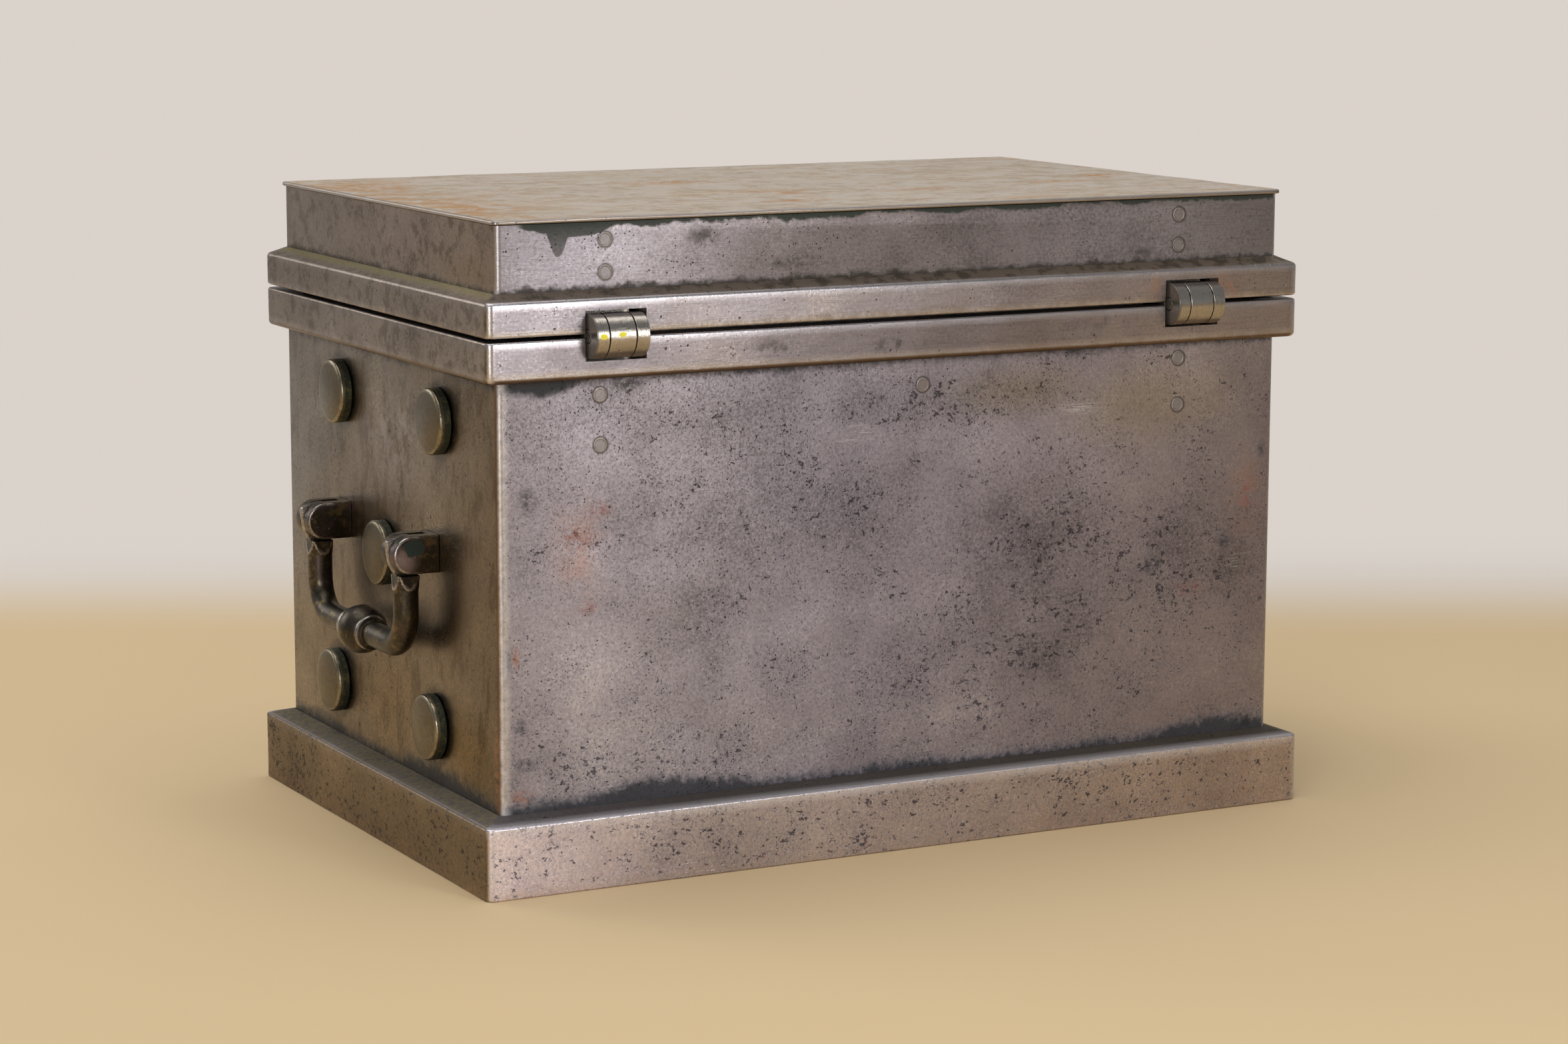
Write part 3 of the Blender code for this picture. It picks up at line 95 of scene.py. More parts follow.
class Graph:
    """A material's node tree, built with short calls. Lengths are in millimetres."""

    def __init__(self, name):
        self.material = bpy.data.materials.new(name)
        self.material.use_nodes = True
        self.tree = self.material.node_tree
        self.tree.nodes.clear()
        place = self.node("ShaderNodeTexCoord")
        scale = self.node("ShaderNodeVectorMath", operation="SCALE")
        self.tree.links.new(place.outputs["Object"], scale.inputs[0])
        scale.inputs["Scale"].default_value = 1000.0
        self.place = scale.outputs["Vector"]
        split = self.node("ShaderNodeSeparateXYZ")
        self.tree.links.new(self.place, split.inputs[0])
        self.x, self.y, self.z = split.outputs

    def node(self, kind, **settings):
        node = self.tree.nodes.new(kind)
        for key, value in settings.items():
            setattr(node, key, value)
        return node

    def feed(self, socket, value):
        """A socket takes another socket's value or a plain one."""
        if isinstance(value, bpy.types.NodeSocket):
            self.tree.links.new(value, socket)
        elif isinstance(value, (tuple, list)) and len(value) == 3 and len(socket.default_value) == 4:
            socket.default_value = (*value, 1.0)
        else:
            socket.default_value = value

    def math(self, operation, first, second=0.0, third=0.0):
        node = self.node("ShaderNodeMath", operation=operation)
        for socket, value in zip(node.inputs, (first, second, third)):
            self.feed(socket, value)
        return node.outputs[0]

    def add(self, *values):
        result = values[0]
        for value in values[1:]:
            result = self.math("ADD", result, value)
        return result

    def less(self, first, second):
        return self.math("SUBTRACT", first, second)

    def times(self, *values):
        result = values[0]
        for value in values[1:]:
            result = self.math("MULTIPLY", result, value)
        return result

    def size(self, value):
        return self.math("ABSOLUTE", value)

    def highest(self, *values):
        result = values[0]
        for value in values[1:]:
            result = self.math("MAXIMUM", result, value)
        return result

    def other(self, *values):
        """One minus the product of the values."""
        return self.math("SUBTRACT", 1.0, self.times(*values))

    def waver(self, texture, amount):
        """The texture's swing about its mean, by half the amount each way."""
        return self.times(self.less(texture, 0.5), amount)

    def step(self, value, low, high):
        """Smooth step: 0 at low, 1 at high. Low may be above high."""
        node = self.node("ShaderNodeMapRange", interpolation_type="SMOOTHSTEP", clamp=True)
        for socket, content in zip(node.inputs, (value, low, high, 0.0, 1.0)):
            self.feed(socket, content)
        return node.outputs[0]

    def remap(self, value, low, high, first, last):
        """Straight change from first to last as the value goes from low to high."""
        node = self.node("ShaderNodeMapRange", clamp=True)
        for socket, content in zip(node.inputs, (value, low, high, first, last)):
            self.feed(socket, content)
        return node.outputs[0]

    def moved(self, shift=(0, 0, 0), turn=(0, 0, 0), stretch=(1, 1, 1)):
        """The place, divided by the stretch along each axis, then turned by degrees and shifted."""
        node = self.node("ShaderNodeMapping")
        self.feed(node.inputs["Vector"], self.place)
        node.inputs["Location"].default_value = shift
        node.inputs["Rotation"].default_value = [math.radians(angle) for angle in turn]
        node.inputs["Scale"].default_value = [1.0 / length for length in stretch]
        return node.outputs[0]

    def ragged(self, grain, amount):
        """The place shaken by noise, so that round marks get a ragged outline."""
        texture = self.node("ShaderNodeTexNoise")
        self.feed(texture.inputs["Vector"], self.place)
        texture.inputs["Scale"].default_value = 1.0 / grain
        texture.inputs["Detail"].default_value = 2.0
        move = self.node("ShaderNodeVectorMath", operation="MULTIPLY_ADD")
        self.tree.links.new(texture.outputs["Color"], move.inputs[0])
        move.inputs[1].default_value = (2 * amount, 2 * amount, 2 * amount)
        self.feed(move.inputs[2], self.place)
        return move.outputs[0]

    def noise(self, grain, detail=3.0, rough=0.5, place=None):
        """Noise from 0 to 1 whose blotches are about one grain across."""
        node = self.node("ShaderNodeTexNoise")
        self.feed(node.inputs["Vector"], place or self.place)
        node.inputs["Scale"].default_value = 1.0 / grain
        node.inputs["Detail"].default_value = detail
        node.inputs["Roughness"].default_value = rough
        return node.outputs["Fac"]

    def pits(self, cell, share, place, small=0.14, large=0.40):
        """Round pits, at most one a cell, in a share of the cells."""
        node = self.node("ShaderNodeTexVoronoi", feature="F1")
        self.feed(node.inputs["Vector"], place)
        node.inputs["Scale"].default_value = 1.0 / cell
        luck = self.node("ShaderNodeSeparateColor")
        self.tree.links.new(node.outputs["Color"], luck.inputs[0])
        reach = self.remap(luck.outputs["Green"], 0.0, 1.0, small, large)
        inside = self.step(node.outputs["Distance"], reach, self.times(reach, 0.5))
        return self.times(inside, self.math("LESS_THAN", luck.outputs["Red"], share))

    def attribute(self, name):
        """A number stored on the piece's points."""
        return self.node("ShaderNodeAttribute", attribute_name=name).outputs["Fac"]

    def spot(self, centre, reach):
        """1 at the centre, 0 at the reach along each axis."""
        node = self.node("ShaderNodeMapping", vector_type="TEXTURE")
        self.feed(node.inputs["Vector"], self.place)
        node.inputs["Location"].default_value = centre
        node.inputs["Scale"].default_value = reach
        length = self.node("ShaderNodeVectorMath", operation="LENGTH")
        self.feed(length.inputs[0], node.outputs[0])
        return self.step(length.outputs["Value"], 1.0, 0.0)

    def spots(self, places):
        return self.highest(*[self.spot(centre, reach) for centre, reach in places])

    def on_back(self, places, depth=12, y=126):
        """Spots on the back, from (x, z, reach along x, reach along z)."""
        return self.spots([((x, y, z), (wide, depth, tall)) for x, z, wide, tall in places])

    def on_top(self, places):
        """Spots on the top plate, from (x, y, reach along x, reach along y)."""
        return self.spots([((x, y, 293), (wide, deep, 9)) for x, y, wide, deep in places])

    def mix(self, first, second, share, kind="MIX"):
        """Colour between the first and the second."""
        node = self.node("ShaderNodeMix", data_type="RGBA", blend_type=kind)
        self.feed(node.inputs[0], share)
        self.feed(node.inputs[6], first)
        self.feed(node.inputs[7], second)
        return node.outputs[2]

    def paint(self, colour, *shares):
        """Covers the surface's colour with another, by the product of the shares."""
        self.colour = self.mix(self.colour, colour, self.times(*shares))

    def tint(self, tint, *shares):
        """Multiplies the surface's colour by a tint, by the product of the shares."""
        self.colour = self.mix(self.colour, tint, self.times(*shares), "MULTIPLY")

    def blend(self, first, second, *shares):
        """Number between the first and the second, by the product of the shares."""
        share = self.times(*shares)
        node = self.node("ShaderNodeMix", data_type="FLOAT")
        self.feed(node.inputs[0], share)
        self.feed(node.inputs[2], first)
        self.feed(node.inputs[3], second)
        return node.outputs[0]

    def relief(self, height, depth, below=None):
        """Bump from a height of 0 to 1 that stands for a depth in millimetres."""
        node = self.node("ShaderNodeBump")
        node.inputs["Distance"].default_value = depth / 1000.0
        self.feed(node.inputs["Height"], height)
        if below is not None:
            self.feed(node.inputs["Normal"], below)
        return node.outputs["Normal"]

    def finish(self, colour, metallic, roughness, normal=None, specular=0.5):
        shader = self.node("ShaderNodeBsdfPrincipled")
        self.feed(shader.inputs["Base Color"], colour)
        self.feed(shader.inputs["Metallic"], metallic)
        self.feed(shader.inputs["Roughness"], roughness)
        self.feed(shader.inputs["Specular IOR Level"], specular)
        if normal is not None:
            self.feed(shader.inputs["Normal"], normal)
        output = self.node("ShaderNodeOutputMaterial")
        self.tree.links.new(shader.outputs[0], output.inputs["Surface"])
        return self.material


# Colours, linear
PALE_STEEL = (0.56, 0.525, 0.545)
LILAC = (0.345, 0.312, 0.332)
WARM_STEEL = (0.33, 0.285, 0.26)
DARK_STEEL = (0.165, 0.145, 0.150)
ROSE = (0.42, 0.25, 0.20)
BROWN = (0.115, 0.070, 0.036)
PIT = (0.026, 0.024, 0.026)
BLUE_BLACK = (0.020, 0.023, 0.028)
GREEN_BLACK = (0.020, 0.030, 0.022)
GRIME = (0.030, 0.024, 0.016)
DUST = (0.20, 0.16, 0.06)
RUST = (0.36, 0.13, 0.035)
RED_RUST = (0.26, 0.075, 0.045)


def worn_iron(name, dark, mid, pale, grain_way="x", pit_share=0.15, rough=0.40, zones=None, layers=None,
              seed=0.0, brushed=0.5, flecked=0.3):
    """Old polished iron: soft mottling, fine grain, thin scratches and clusters of dark pits.

    zones(graph) returns a shift of the tone and a share of pits to add, by place. layers(graph,
    roughness) paints grime, rust and wear over the colour and returns metal and roughness.
    """
    g = Graph(name)
    shift = (seed, seed * 0.7, -seed)
    here = g.moved(shift)
    broad = g.noise(72, 2, 0.5, here)
    cloud = g.noise(24, 5, 0.56, here)
    fine = g.noise(1.5, 5, 0.75, here)
    tone = g.add(g.times(broad, 0.30), g.times(cloud, 0.22), g.times(fine, 0.42), 0.03)
    extra = 0.0
    if zones:
        tone_shift, extra = zones(g)
        tone = g.add(tone, tone_shift)
    g.colour = g.mix(dark, mid, g.step(tone, 0.30, 0.52))
    g.paint(pale, g.step(tone, 0.49, 0.7))

    long_way = {"x": (14.0, 0.45, 0.45), "y": (0.45, 14.0, 0.45), "z": (0.45, 0.45, 14.0)}[grain_way]
    grain = g.noise(1.0, 3, 0.6, g.moved(shift, stretch=long_way))
    g.tint((0.66, 0.65, 0.65), g.step(grain, 0.5, 0.3), brushed)
    rub = g.noise(1.0, 2, 0.6, g.moved(shift, (0, 32, 24), (26.0, 0.5, 0.45)))
    rub_other = g.noise(1.0, 2, 0.6, g.moved(shift, (0, -48, -20), (18.0, 0.45, 0.4)))
    patch = g.step(g.noise(42, 2, 0.5, g.moved((seed, 31, 7))), 0.46, 0.62)
    scratch = g.times(g.highest(g.step(rub, 0.64, 0.72), g.step(rub_other, 0.66, 0.74)), patch)
    g.paint(pale, scratch, 0.55)

    cluster = g.step(g.noise(26, 4, 0.62, g.moved((seed - 40, 12, seed))), 0.40, 0.66)
    crowd = g.add(g.times(cluster, 0.5), g.times(g.add(pit_share, extra), 1.5))
    dust = g.noise(1.0, 3, 0.62, g.moved(shift, stretch=(0.85, 0.85, 1.15)))
    limit = g.remap(crowd, 0.0, 1.2, 0.610, 0.480)
    flecks = g.times(g.step(dust, limit, g.add(limit, 0.06)), 0.28)
    hollow = g.noise(2.6, 4, 0.66, g.moved(shift, stretch=(1.2, 1.2, 0.9)))
    limit = g.remap(crowd, 0.0, 1.2, 0.700, 0.560)
    flecks = g.times(g.highest(flecks, g.step(hollow, limit, g.add(limit, 0.025))), flecked)
    g.tint((0.2, 0.185, 0.195), flecks)
    glint = g.step(g.noise(1.1, 2, 0.6, g.moved((7, seed, 3))), 0.64, 0.70)
    g.paint(pale, glint, 0.6 * flecked)
    share = g.times(g.add(g.times(cluster, 1.6), 0.15), g.add(pit_share, g.times(extra, 0.35)))
    shaken = g.ragged(0.9, 0.42)
    pit = g.highest(g.pits(1.05, share, shaken), g.pits(2.1, g.times(share, 0.55), shaken, 0.16, 0.36))
    large = g.pits(5.2, g.times(share, 0.16), g.ragged(2.0, 1.3), 0.10, 0.24)
    marks = g.highest(pit, large)
    g.paint(PIT, marks, 0.86)

    metal = 1.0
    marks = g.highest(marks, g.times(flecks, 0.8))
    roughness = g.add(g.remap(tone, 0.38, 0.62, rough + 0.06, rough - 0.05), g.times(marks, 0.2))
    roughness = g.add(roughness, g.waver(grain, 0.20 * brushed))
    if layers:
        metal, roughness = layers(g, roughness)
    metal = g.times(metal, g.other(marks, 0.5))

    normal = g.relief(g.noise(46, 1, 0.4, g.moved((seed, 2, 5))), 0.7)
    skin = g.add(g.times(grain, 0.4 * brushed), g.times(cloud, 0.4), g.times(fine, 0.35))
    normal = g.relief(skin, 0.16, normal)
    normal = g.relief(g.other(g.highest(marks, g.times(scratch, 0.2))), 0.2, normal)
    return g.finish(g.colour, metal, roughness, normal, g.remap(metal, 0.0, 0.6, 0.10, 0.5))


def corner_wear(g, out):
    """1 along the upright corners of a ring that stands out by this much, on its long sides."""
    return g.times(g.step(g.size(g.x), HALF_X + out - 5.0, HALF_X + out - 1.0),
                   g.step(g.size(g.y), HALF_Y + out - 2.2, HALF_Y + out - 0.9))


def end_wall(g):
    """1 on the sheet's end walls."""
    return g.step(g.size(g.x), 198.3, 199.8)


def end_side(g):
    """1 where a ring belongs to an end, past the line through its corners."""
    return g.step(g.less(g.size(g.x), g.size(g.y)), 74.5, 76.5)


def body_zones(g):
    """Dark clouds and dense pitting in the middle and low on the back, bright places beside them."""
    dark = g.on_back([(-92, 130, 95, 62), (-50, 84, 95, 48), (48, 158, 80, 38), (-145, 122, 60, 50),
                      (100, 201, 50, 20), (-20, 205, 70, 18)], 40)
    bright = g.on_back([(62, 104, 70, 34), (150, 62, 70, 34), (160, 110, 60, 56), (-30, 60, 120, 12),
                        (-180, 175, 26, 30)], 40)
    end = end_wall(g)
    end_dark = g.times(end, g.spots([((200, -84, 143), (40, 40, 60)), ((-200, 0, 130), (40, 60, 60))]))
    tone = g.add(g.times(dark, -0.075), g.times(bright, 0.045), g.times(end_dark, -0.06))
    low = g.spot((120, 126, 52), (110, 40, 22))
    speckled = g.times(end, g.spots([((200, 10, 186), (50, 48, 34)), ((200, -5, 60), (40, 60, 40))]))
    pits = g.add(g.times(dark, 0.36), g.times(low, 0.30), g.times(end, -0.07), g.times(speckled, 0.2), 0.04)
    return tone, pits


def cloudy(g):
    """Blotches of a centimetre or so, alike on every piece."""
    return g.noise(8, 5, 0.68, g.moved((6, 6, 6)))


def back_rivets(g, rivets):
    """Spots round the rivets of the back."""
    return g.on_back([(x, z, 5.6, 5.6) for side, x, z in rivets if side == "back"], y=HALF_Y)


def boss_distance(g):
    """Distance on an end wall from the nearest of its five bosses."""
    lean = g.times(g.remap(g.z, 60.8, 200.0, -4.9, 4.1), g.step(g.x, -1, 1))
    across, up = g.less(g.size(g.less(g.y, lean)), 59.1), g.less(g.size(g.less(g.z, 130.4)), 69.6)
    corner = g.math("SQRT", g.add(g.times(across, across), g.times(up, up)))
    across, up = g.add(g.y, g.times(g.step(g.x, -1, 1), 2.7)), g.less(g.z, 131.4)
    middle = g.math("SQRT", g.add(g.times(across, across), g.times(up, up)))
    return g.math("MINIMUM", corner, middle)


def body_layers(g, roughness):
    """Warmer ends and far side, grime above the plinth and under the rim, rust and pale scuffs; painted
    shade on the back away from its near end, painted shadows on the right end, grime with painted shade
    round the bosses, a warm low band on the ends that is partly a painted reflection, and a pale band at
    the near corner that is partly a painted highlight.
    """
    end = end_wall(g)
    back = g.step(g.y, 124.6, 126.1)
    far = g.step(g.x, 70, -190)
    # Painted shade: the back is darkened away from its near end.
    g.tint((0.74, 0.735, 0.765), g.step(g.x, 125, 20), back)
    g.tint((1.16, 1.09, 0.99), far, back)
    g.tint((1.02, 1.03, 1.09), back)
    olive = g.times(back, g.on_back([(-130, 196, 70, 30), (-60, 206, 60, 18)], 40))
    g.tint((0.95, 0.9, 0.66), olive, 0.8)
    g.tint((0.59, 0.515, 0.365), end)
    # Painted shadows on the right end; the first patch is the handle's shadow.
    shade = g.times(end, g.spots([((200, 74, 124), (40, 26, 52)), ((200, -30, 128), (40, 22, 40))]))
    g.tint((0.5, 0.44, 0.36), shade, 0.8)
    # Warm low band on the ends: partly brown patina, partly a painted reflection of a warm wooden floor.
    gold = g.times(end, g.spots([((0, 2, 62), (500, 70, 42)), ((200, 92, 55), (60, 46, 30))]))
    g.tint((1.12, 0.95, 0.54), gold, 0.85)
    streaks = g.noise(1.0, 5, 0.7, g.moved((4, 9, 2), (0, 0, 0), (13, 11, 30)))
    g.tint((0.5, 0.44, 0.36), end, g.step(streaks, 0.5, 0.64), 0.7)
    # Grime round the bosses on the ends, partly painted shade beside them.
    grime_and_shade_round_bosses = g.times(end, g.step(boss_distance(g), 21.5, 15.0))
    g.paint(GRIME, grime_and_shade_round_bosses, g.remap(cloudy(g), 0.35, 0.6, 0.4, 0.9))
    g.paint(GRIME, g.step(back_rivets(g, BODY_RIVETS), 0.1, 0.34), 0.75)
    lilac = g.times(end, g.spot((200, 12, 188), (40, 50, 36)), g.step(g.noise(7, 6, 0.72), 0.42, 0.60))
    g.paint((0.4, 0.36, 0.37), lilac, 0.5)

    edge = g.noise(1.0, 6, 0.72, g.moved((2, 2, 2), stretch=(3.4, 3.4, 4.0)))
    wide = g.noise(30, 2, 0.5, g.moved((9, 9, 9)))
    heap = g.spots([((128, 126, 36), (74, 40, 60)), ((-166, 126, 36), (52, 40, 60)),
                    ((200, 60, 36), (20, 60, 60))])
    foot_top = g.add(34.0, g.times(heap, 5.5), g.times(g.step(wide, 0.40, 0.66), 2.6))
    low = g.less(g.z, g.waver(edge, 15))
    foot = g.step(low, g.add(foot_top, 6.0), g.less(foot_top, 1.2))
    g.paint(BLUE_BLACK, foot, 0.88)
    near_corner = g.spot((184, 126, 224), (30, 40, 20))
    under_low = g.less(g.less(223.4, g.times(near_corner, 6.0)), g.times(g.step(wide, 0.5, 0.7), 2.4))
    under = g.step(g.add(g.z, g.waver(edge, 9)), g.less(under_low, 4.5), g.add(under_low, 2.0))
    g.paint(BLUE_BLACK, under, 0.92)

    specks = g.noise(3.4, 6, 0.75)
    rosy = g.times(g.on_back([(163, 148, 20, 34), (-186, 149, 16, 30)]),
                   g.step(g.noise(13, 6, 0.7), 0.40, 0.60))
    g.paint(ROSE, rosy, 0.5)
    red = g.times(g.on_back([(157.8, 123, 6, 5.5), (163, 154, 11, 8), (152, 166, 9, 6), (-186, 149, 8, 14),
                             (-154, 106, 10, 5)]), g.step(specks, 0.44, 0.60))
    g.paint(RED_RUST, red, 0.7)
    orange = g.times(g.spots([((190, 126, 42), (8, 12, 5)), ((199, 123, 56), (5, 5, 30)),
                              ((192, 126, 104), (3, 12, 7))]), g.step(specks, 0.42, 0.56))
    g.paint(RUST, orange, 0.75)
    dent = g.times(g.on_back([(195.8, 103, 2.6, 12), (-193.7, 170, 4, 7), (-133.7, 119, 9, 7),
                              (-173, 127, 7, 6), (-189, 40, 13, 9), (186, 172, 7, 9), (138, 220, 13, 5),
                              (188, 56, 7, 5), (190, 73, 5, 6)]), g.step(specks, 0.38, 0.55))
    g.paint(PIT, dent, 0.8)
    scuff = g.times(g.on_back([(-180, 117, 7, 6), (26, 191, 17, 6), (-92, 196, 16, 5)]),
                    g.step(g.noise(1.0, 3, 0.6, g.moved((0, 0, 0), (0, 22, 0), (12, 1, 0.7))), 0.5, 0.62))
    g.paint((0.7, 0.68, 0.68), scuff, 0.45)
    # Pale band along the upright corners of the back, full at the near corner: partly worn polish, partly a
    # painted highlight.
    wear = g.times(g.highest(g.step(g.x, 193.5, 198.5), g.times(g.step(g.x, -197, -199), 0.4)),
                   g.step(g.y, 124.4, 125.8))
    g.paint((0.8, 0.78, 0.82), wear, g.remap(specks, 0.36, 0.62, 0.3, 0.75))
    arris = g.times(g.step(g.size(g.x), 199.1, 199.7), g.step(g.y, 123.4, 124.6))
    g.paint((0.2, 0.12, 0.075), arris, 0.7)
    dull = g.highest(foot, under, g.times(dent, 0.7))
    metal = g.other(g.highest(dull, g.times(red, 0.7), orange), 0.8)
    roughness = g.blend(roughness, 0.62, dull, 0.8)
    roughness = g.less(roughness, g.times(end, 0.12))
    return metal, g.blend(roughness, 0.28, wear)


def lid_zones(g):
    # Darker tone on the ends and, as painted shade, away from the near end; lighter tone at the near
    # corner, a painted highlight.
    dark = g.highest(g.step(g.x, 120, 20), end_wall(g))
    near = g.spot((176, 126, 272), (40, 40, 24))
    return g.add(g.times(dark, -0.045), g.times(near, 0.05)), 0.0


def lid_layers(g, roughness):
    """Old green-black paint left under the top plate, brown grime by the rim, and brown ends."""
    end = end_wall(g)
    middle = g.times(g.step(g.x, 140, 60), g.other(g.step(g.x, -10, -140), 0.85))
    g.tint((0.5, 0.47, 0.44), middle, g.other(end), 0.9)
    # Painted shade at the near end, toning down the lamp's reflection there.
    g.tint((0.82, 0.82, 0.84), g.step(g.x, 120, 170), g.other(end))
    g.tint((0.82, 0.71, 0.55), end)
    g.tint((0.5, 0.46, 0.38), end, g.step(cloudy(g), 0.5, 0.62), 0.8)
    g.paint(GRIME, g.step(back_rivets(g, LID_RIVETS), 0.1, 0.34), 0.7)
    edge = g.noise(9, 6, 0.7)
    wide = g.noise(38, 2, 0.5, g.moved((3, 1, 8)))
    drip = g.highest(g.times(g.spot((171, 126, 282), (7, 14, 24)), 1.1),
                     g.times(g.spot((164, 126, 290), (28, 14, 9)), 0.6))
    band = g.times(g.step(wide, 0.40, 0.66), g.remap(g.x, 130, -40, 4.6, 2.0))
    depth = g.add(0.6, band, g.times(drip, 14))
    paint_low = g.add(g.less(LID_TOP, depth), g.waver(edge, 7))
    paint = g.times(g.step(g.z, g.less(paint_low, 0.7), g.add(paint_low, 0.7)),
                    g.other(end, 0.55), g.step(g.x, 192, 186))
    g.paint(GREEN_BLACK, paint, g.remap(g.z, 290, 278, 0.93, 0.45))
    low = g.step(g.less(g.z, g.waver(edge, 11)), 264.6, 261.6)
    g.paint(GRIME, low, 0.85)
    blotch = g.times(g.on_back([(100.5, 283, 14, 6), (60, 270, 22, 5), (-120, 266, 40, 4)], 14),
                     g.step(edge, 0.44, 0.58))
    g.paint(GRIME, blotch, 0.7)
    green = g.times(end, g.spot((200, 95, 268), (14, 46, 12)))
    g.paint(DUST, green, 0.25)
    wear = g.times(g.step(g.size(g.x), 197.2, 199.2), g.step(g.y, 123.6, 125.7))
    g.paint(PALE_STEEL, wear, 0.85)
    dull = g.highest(paint, low, g.times(blotch, 0.7))
    metal = g.other(dull, 0.85)
    roughness = g.blend(roughness, 0.46, dull, 0.8)
    return metal, g.blend(roughness, 0.28, wear)


def plinth_zones(g):
    slope = g.step(g.z, 31.5, 32.4)
    end = g.step(g.size(g.x), 209.6, 211.0)
    return g.times(end, -0.02), g.add(g.times(g.other(slope), 0.30), g.times(end, 0.16))


def plinth_layers(g, roughness):
    """A painted highlight on the near corner, dusty dark slope, brown ends, and rust specks along the lower
    edge.
    """
    end = g.step(g.size(g.x), 209.4, 210.9)
    far = g.step(g.x, 90, -190)
    g.tint((1.3, 1.24, 1.18), g.other(end))
    # Painted highlight: the long faces are brightened towards the near end.
    near = g.times(g.step(g.x, 95, 205), g.other(end))
    g.tint((1.75, 1.8, 1.98), near)
    g.tint((0.9, 0.82, 0.7), far)
    g.tint((0.62, 0.5, 0.29), end)
    slope = g.step(g.z, 31.7, 32.6)
    on_end = end_side(g)
    g.paint(GRIME, slope, 0.9)
    dusty = g.times(slope, on_end, g.step(g.noise(2.6, 6, 0.76), 0.40, 0.58))
    g.paint(DUST, dusty, 0.6)
    lower = g.step(g.add(g.z, g.times(g.noise(14, 3, 0.6), 14)), 19, 8)
    rust = g.times(lower, g.step(g.noise(2.6, 5, 0.72), 0.50, 0.62))
    g.paint(RUST, rust, 0.42)
    corner = corner_wear(g, PLINTH_OUT)
    worn = g.times(g.attribute("wear"), g.remap(g.z, 2, 20, 0.2, 0.8), g.other(on_end, 0.85))
    wear = g.times(g.highest(worn, corner), g.other(slope, 0.4))
    g.paint((0.74, 0.7, 0.72), wear, 0.7)
    metal = g.other(g.highest(g.times(slope, 0.95), g.times(rust, 0.5)))
    roughness = g.blend(roughness, 0.8, slope, 0.9)
    return metal, g.blend(roughness, 0.27, wear, 0.7)


def rim_zones(g):
    far = g.step(g.x, 120, -60)
    return g.add(g.times(far, -0.035), g.times(g.step(g.size(g.x), 205.8, 207.2), -0.05)), 0.0


def rim_layers(g, roughness):
    """Polished rims: bright edges, brown stain along the lower edges and dark spots by the hinges."""
    end = g.step(g.size(g.x), 205.6, 207.2)
    far = g.step(g.x, 90, -190)
    g.tint((1.02, 0.93, 0.82), g.highest(far, 0.1))
    lower = g.step(g.z, 243.2, 242.2)
    # Painted shade at the near end, toning down the lamp's reflection there.
    g.tint((0.78, 0.78, 0.81), g.step(g.x, 100, 160), g.other(end))
    g.tint((0.66, 0.64, 0.64), g.step(g.x, 150, 60), lower, g.step(g.x, -150, -40))
    g.tint((0.76, 0.67, 0.51), end)
    g.tint((0.48, 0.44, 0.37), end, g.step(cloudy(g), 0.5, 0.62), 0.8)
    edge = g.noise(7, 5, 0.68)
    low = g.highest(g.step(g.z, 229, 224.5), g.times(g.step(g.z, 248, 244), g.step(g.z, 242.4, 242.6)))
    low = g.times(low, g.step(edge, 0.40, 0.60))
    g.paint(BROWN, low, 0.65)
    slope = g.step(g.z, 257.6, 259.2)
    g.paint((0.2, 0.15, 0.095), slope, 0.8)
    g.paint(GRIME, slope, g.step(edge, 0.48, 0.62), 0.6)
    on_end = end_side(g)
    line = g.times(on_end, g.step(g.add(g.z, g.waver(edge, 4)), 259.2, 260.8))
    g.paint((0.26, 0.22, 0.075), line, 0.75)
    rusty = g.times(g.on_back([(-165, 250, 18, 12), (-128, 252, 9, 9)], 14, 134),
                    g.step(edge, 0.44, 0.6))
    g.paint(RUST, rusty, 0.5)
    round_hinges = g.times(g.on_back([(147, 242, 24, 18), (-148, 242, 24, 18)], 14, 134),
                           g.step(edge, 0.38, 0.54))
    blotch = g.times(g.on_back([(70, 232, 20, 8), (-100, 236, 30, 6), (10, 231, 26, 5)], 14, 134),
                     g.step(edge, 0.46, 0.62))
    dirt = g.highest(round_hinges, g.times(blotch, 0.7))
    g.paint(GRIME, dirt)
    under = g.step(g.z, 226.4, 225.0)
    g.paint((0.13, 0.085, 0.06), under, 0.85)
    worn = g.times(g.attribute("wear"), g.other(under), g.other(slope), g.other(on_end, 0.85),
                   g.remap(g.x, 60, 170, 0.5, 1.0))
    wear = g.highest(g.times(worn, 0.75), g.times(corner_wear(g, RIM_OUT), g.other(slope)))
    g.paint((0.78, 0.74, 0.75), wear, 0.75)
    metal = g.other(g.highest(dirt, g.times(rusty, 0.6), g.times(slope, 0.6)), 0.7)
    roughness = g.blend(roughness, 0.5, dirt, 0.7)
    return metal, g.blend(roughness, 0.24, wear, 0.7)


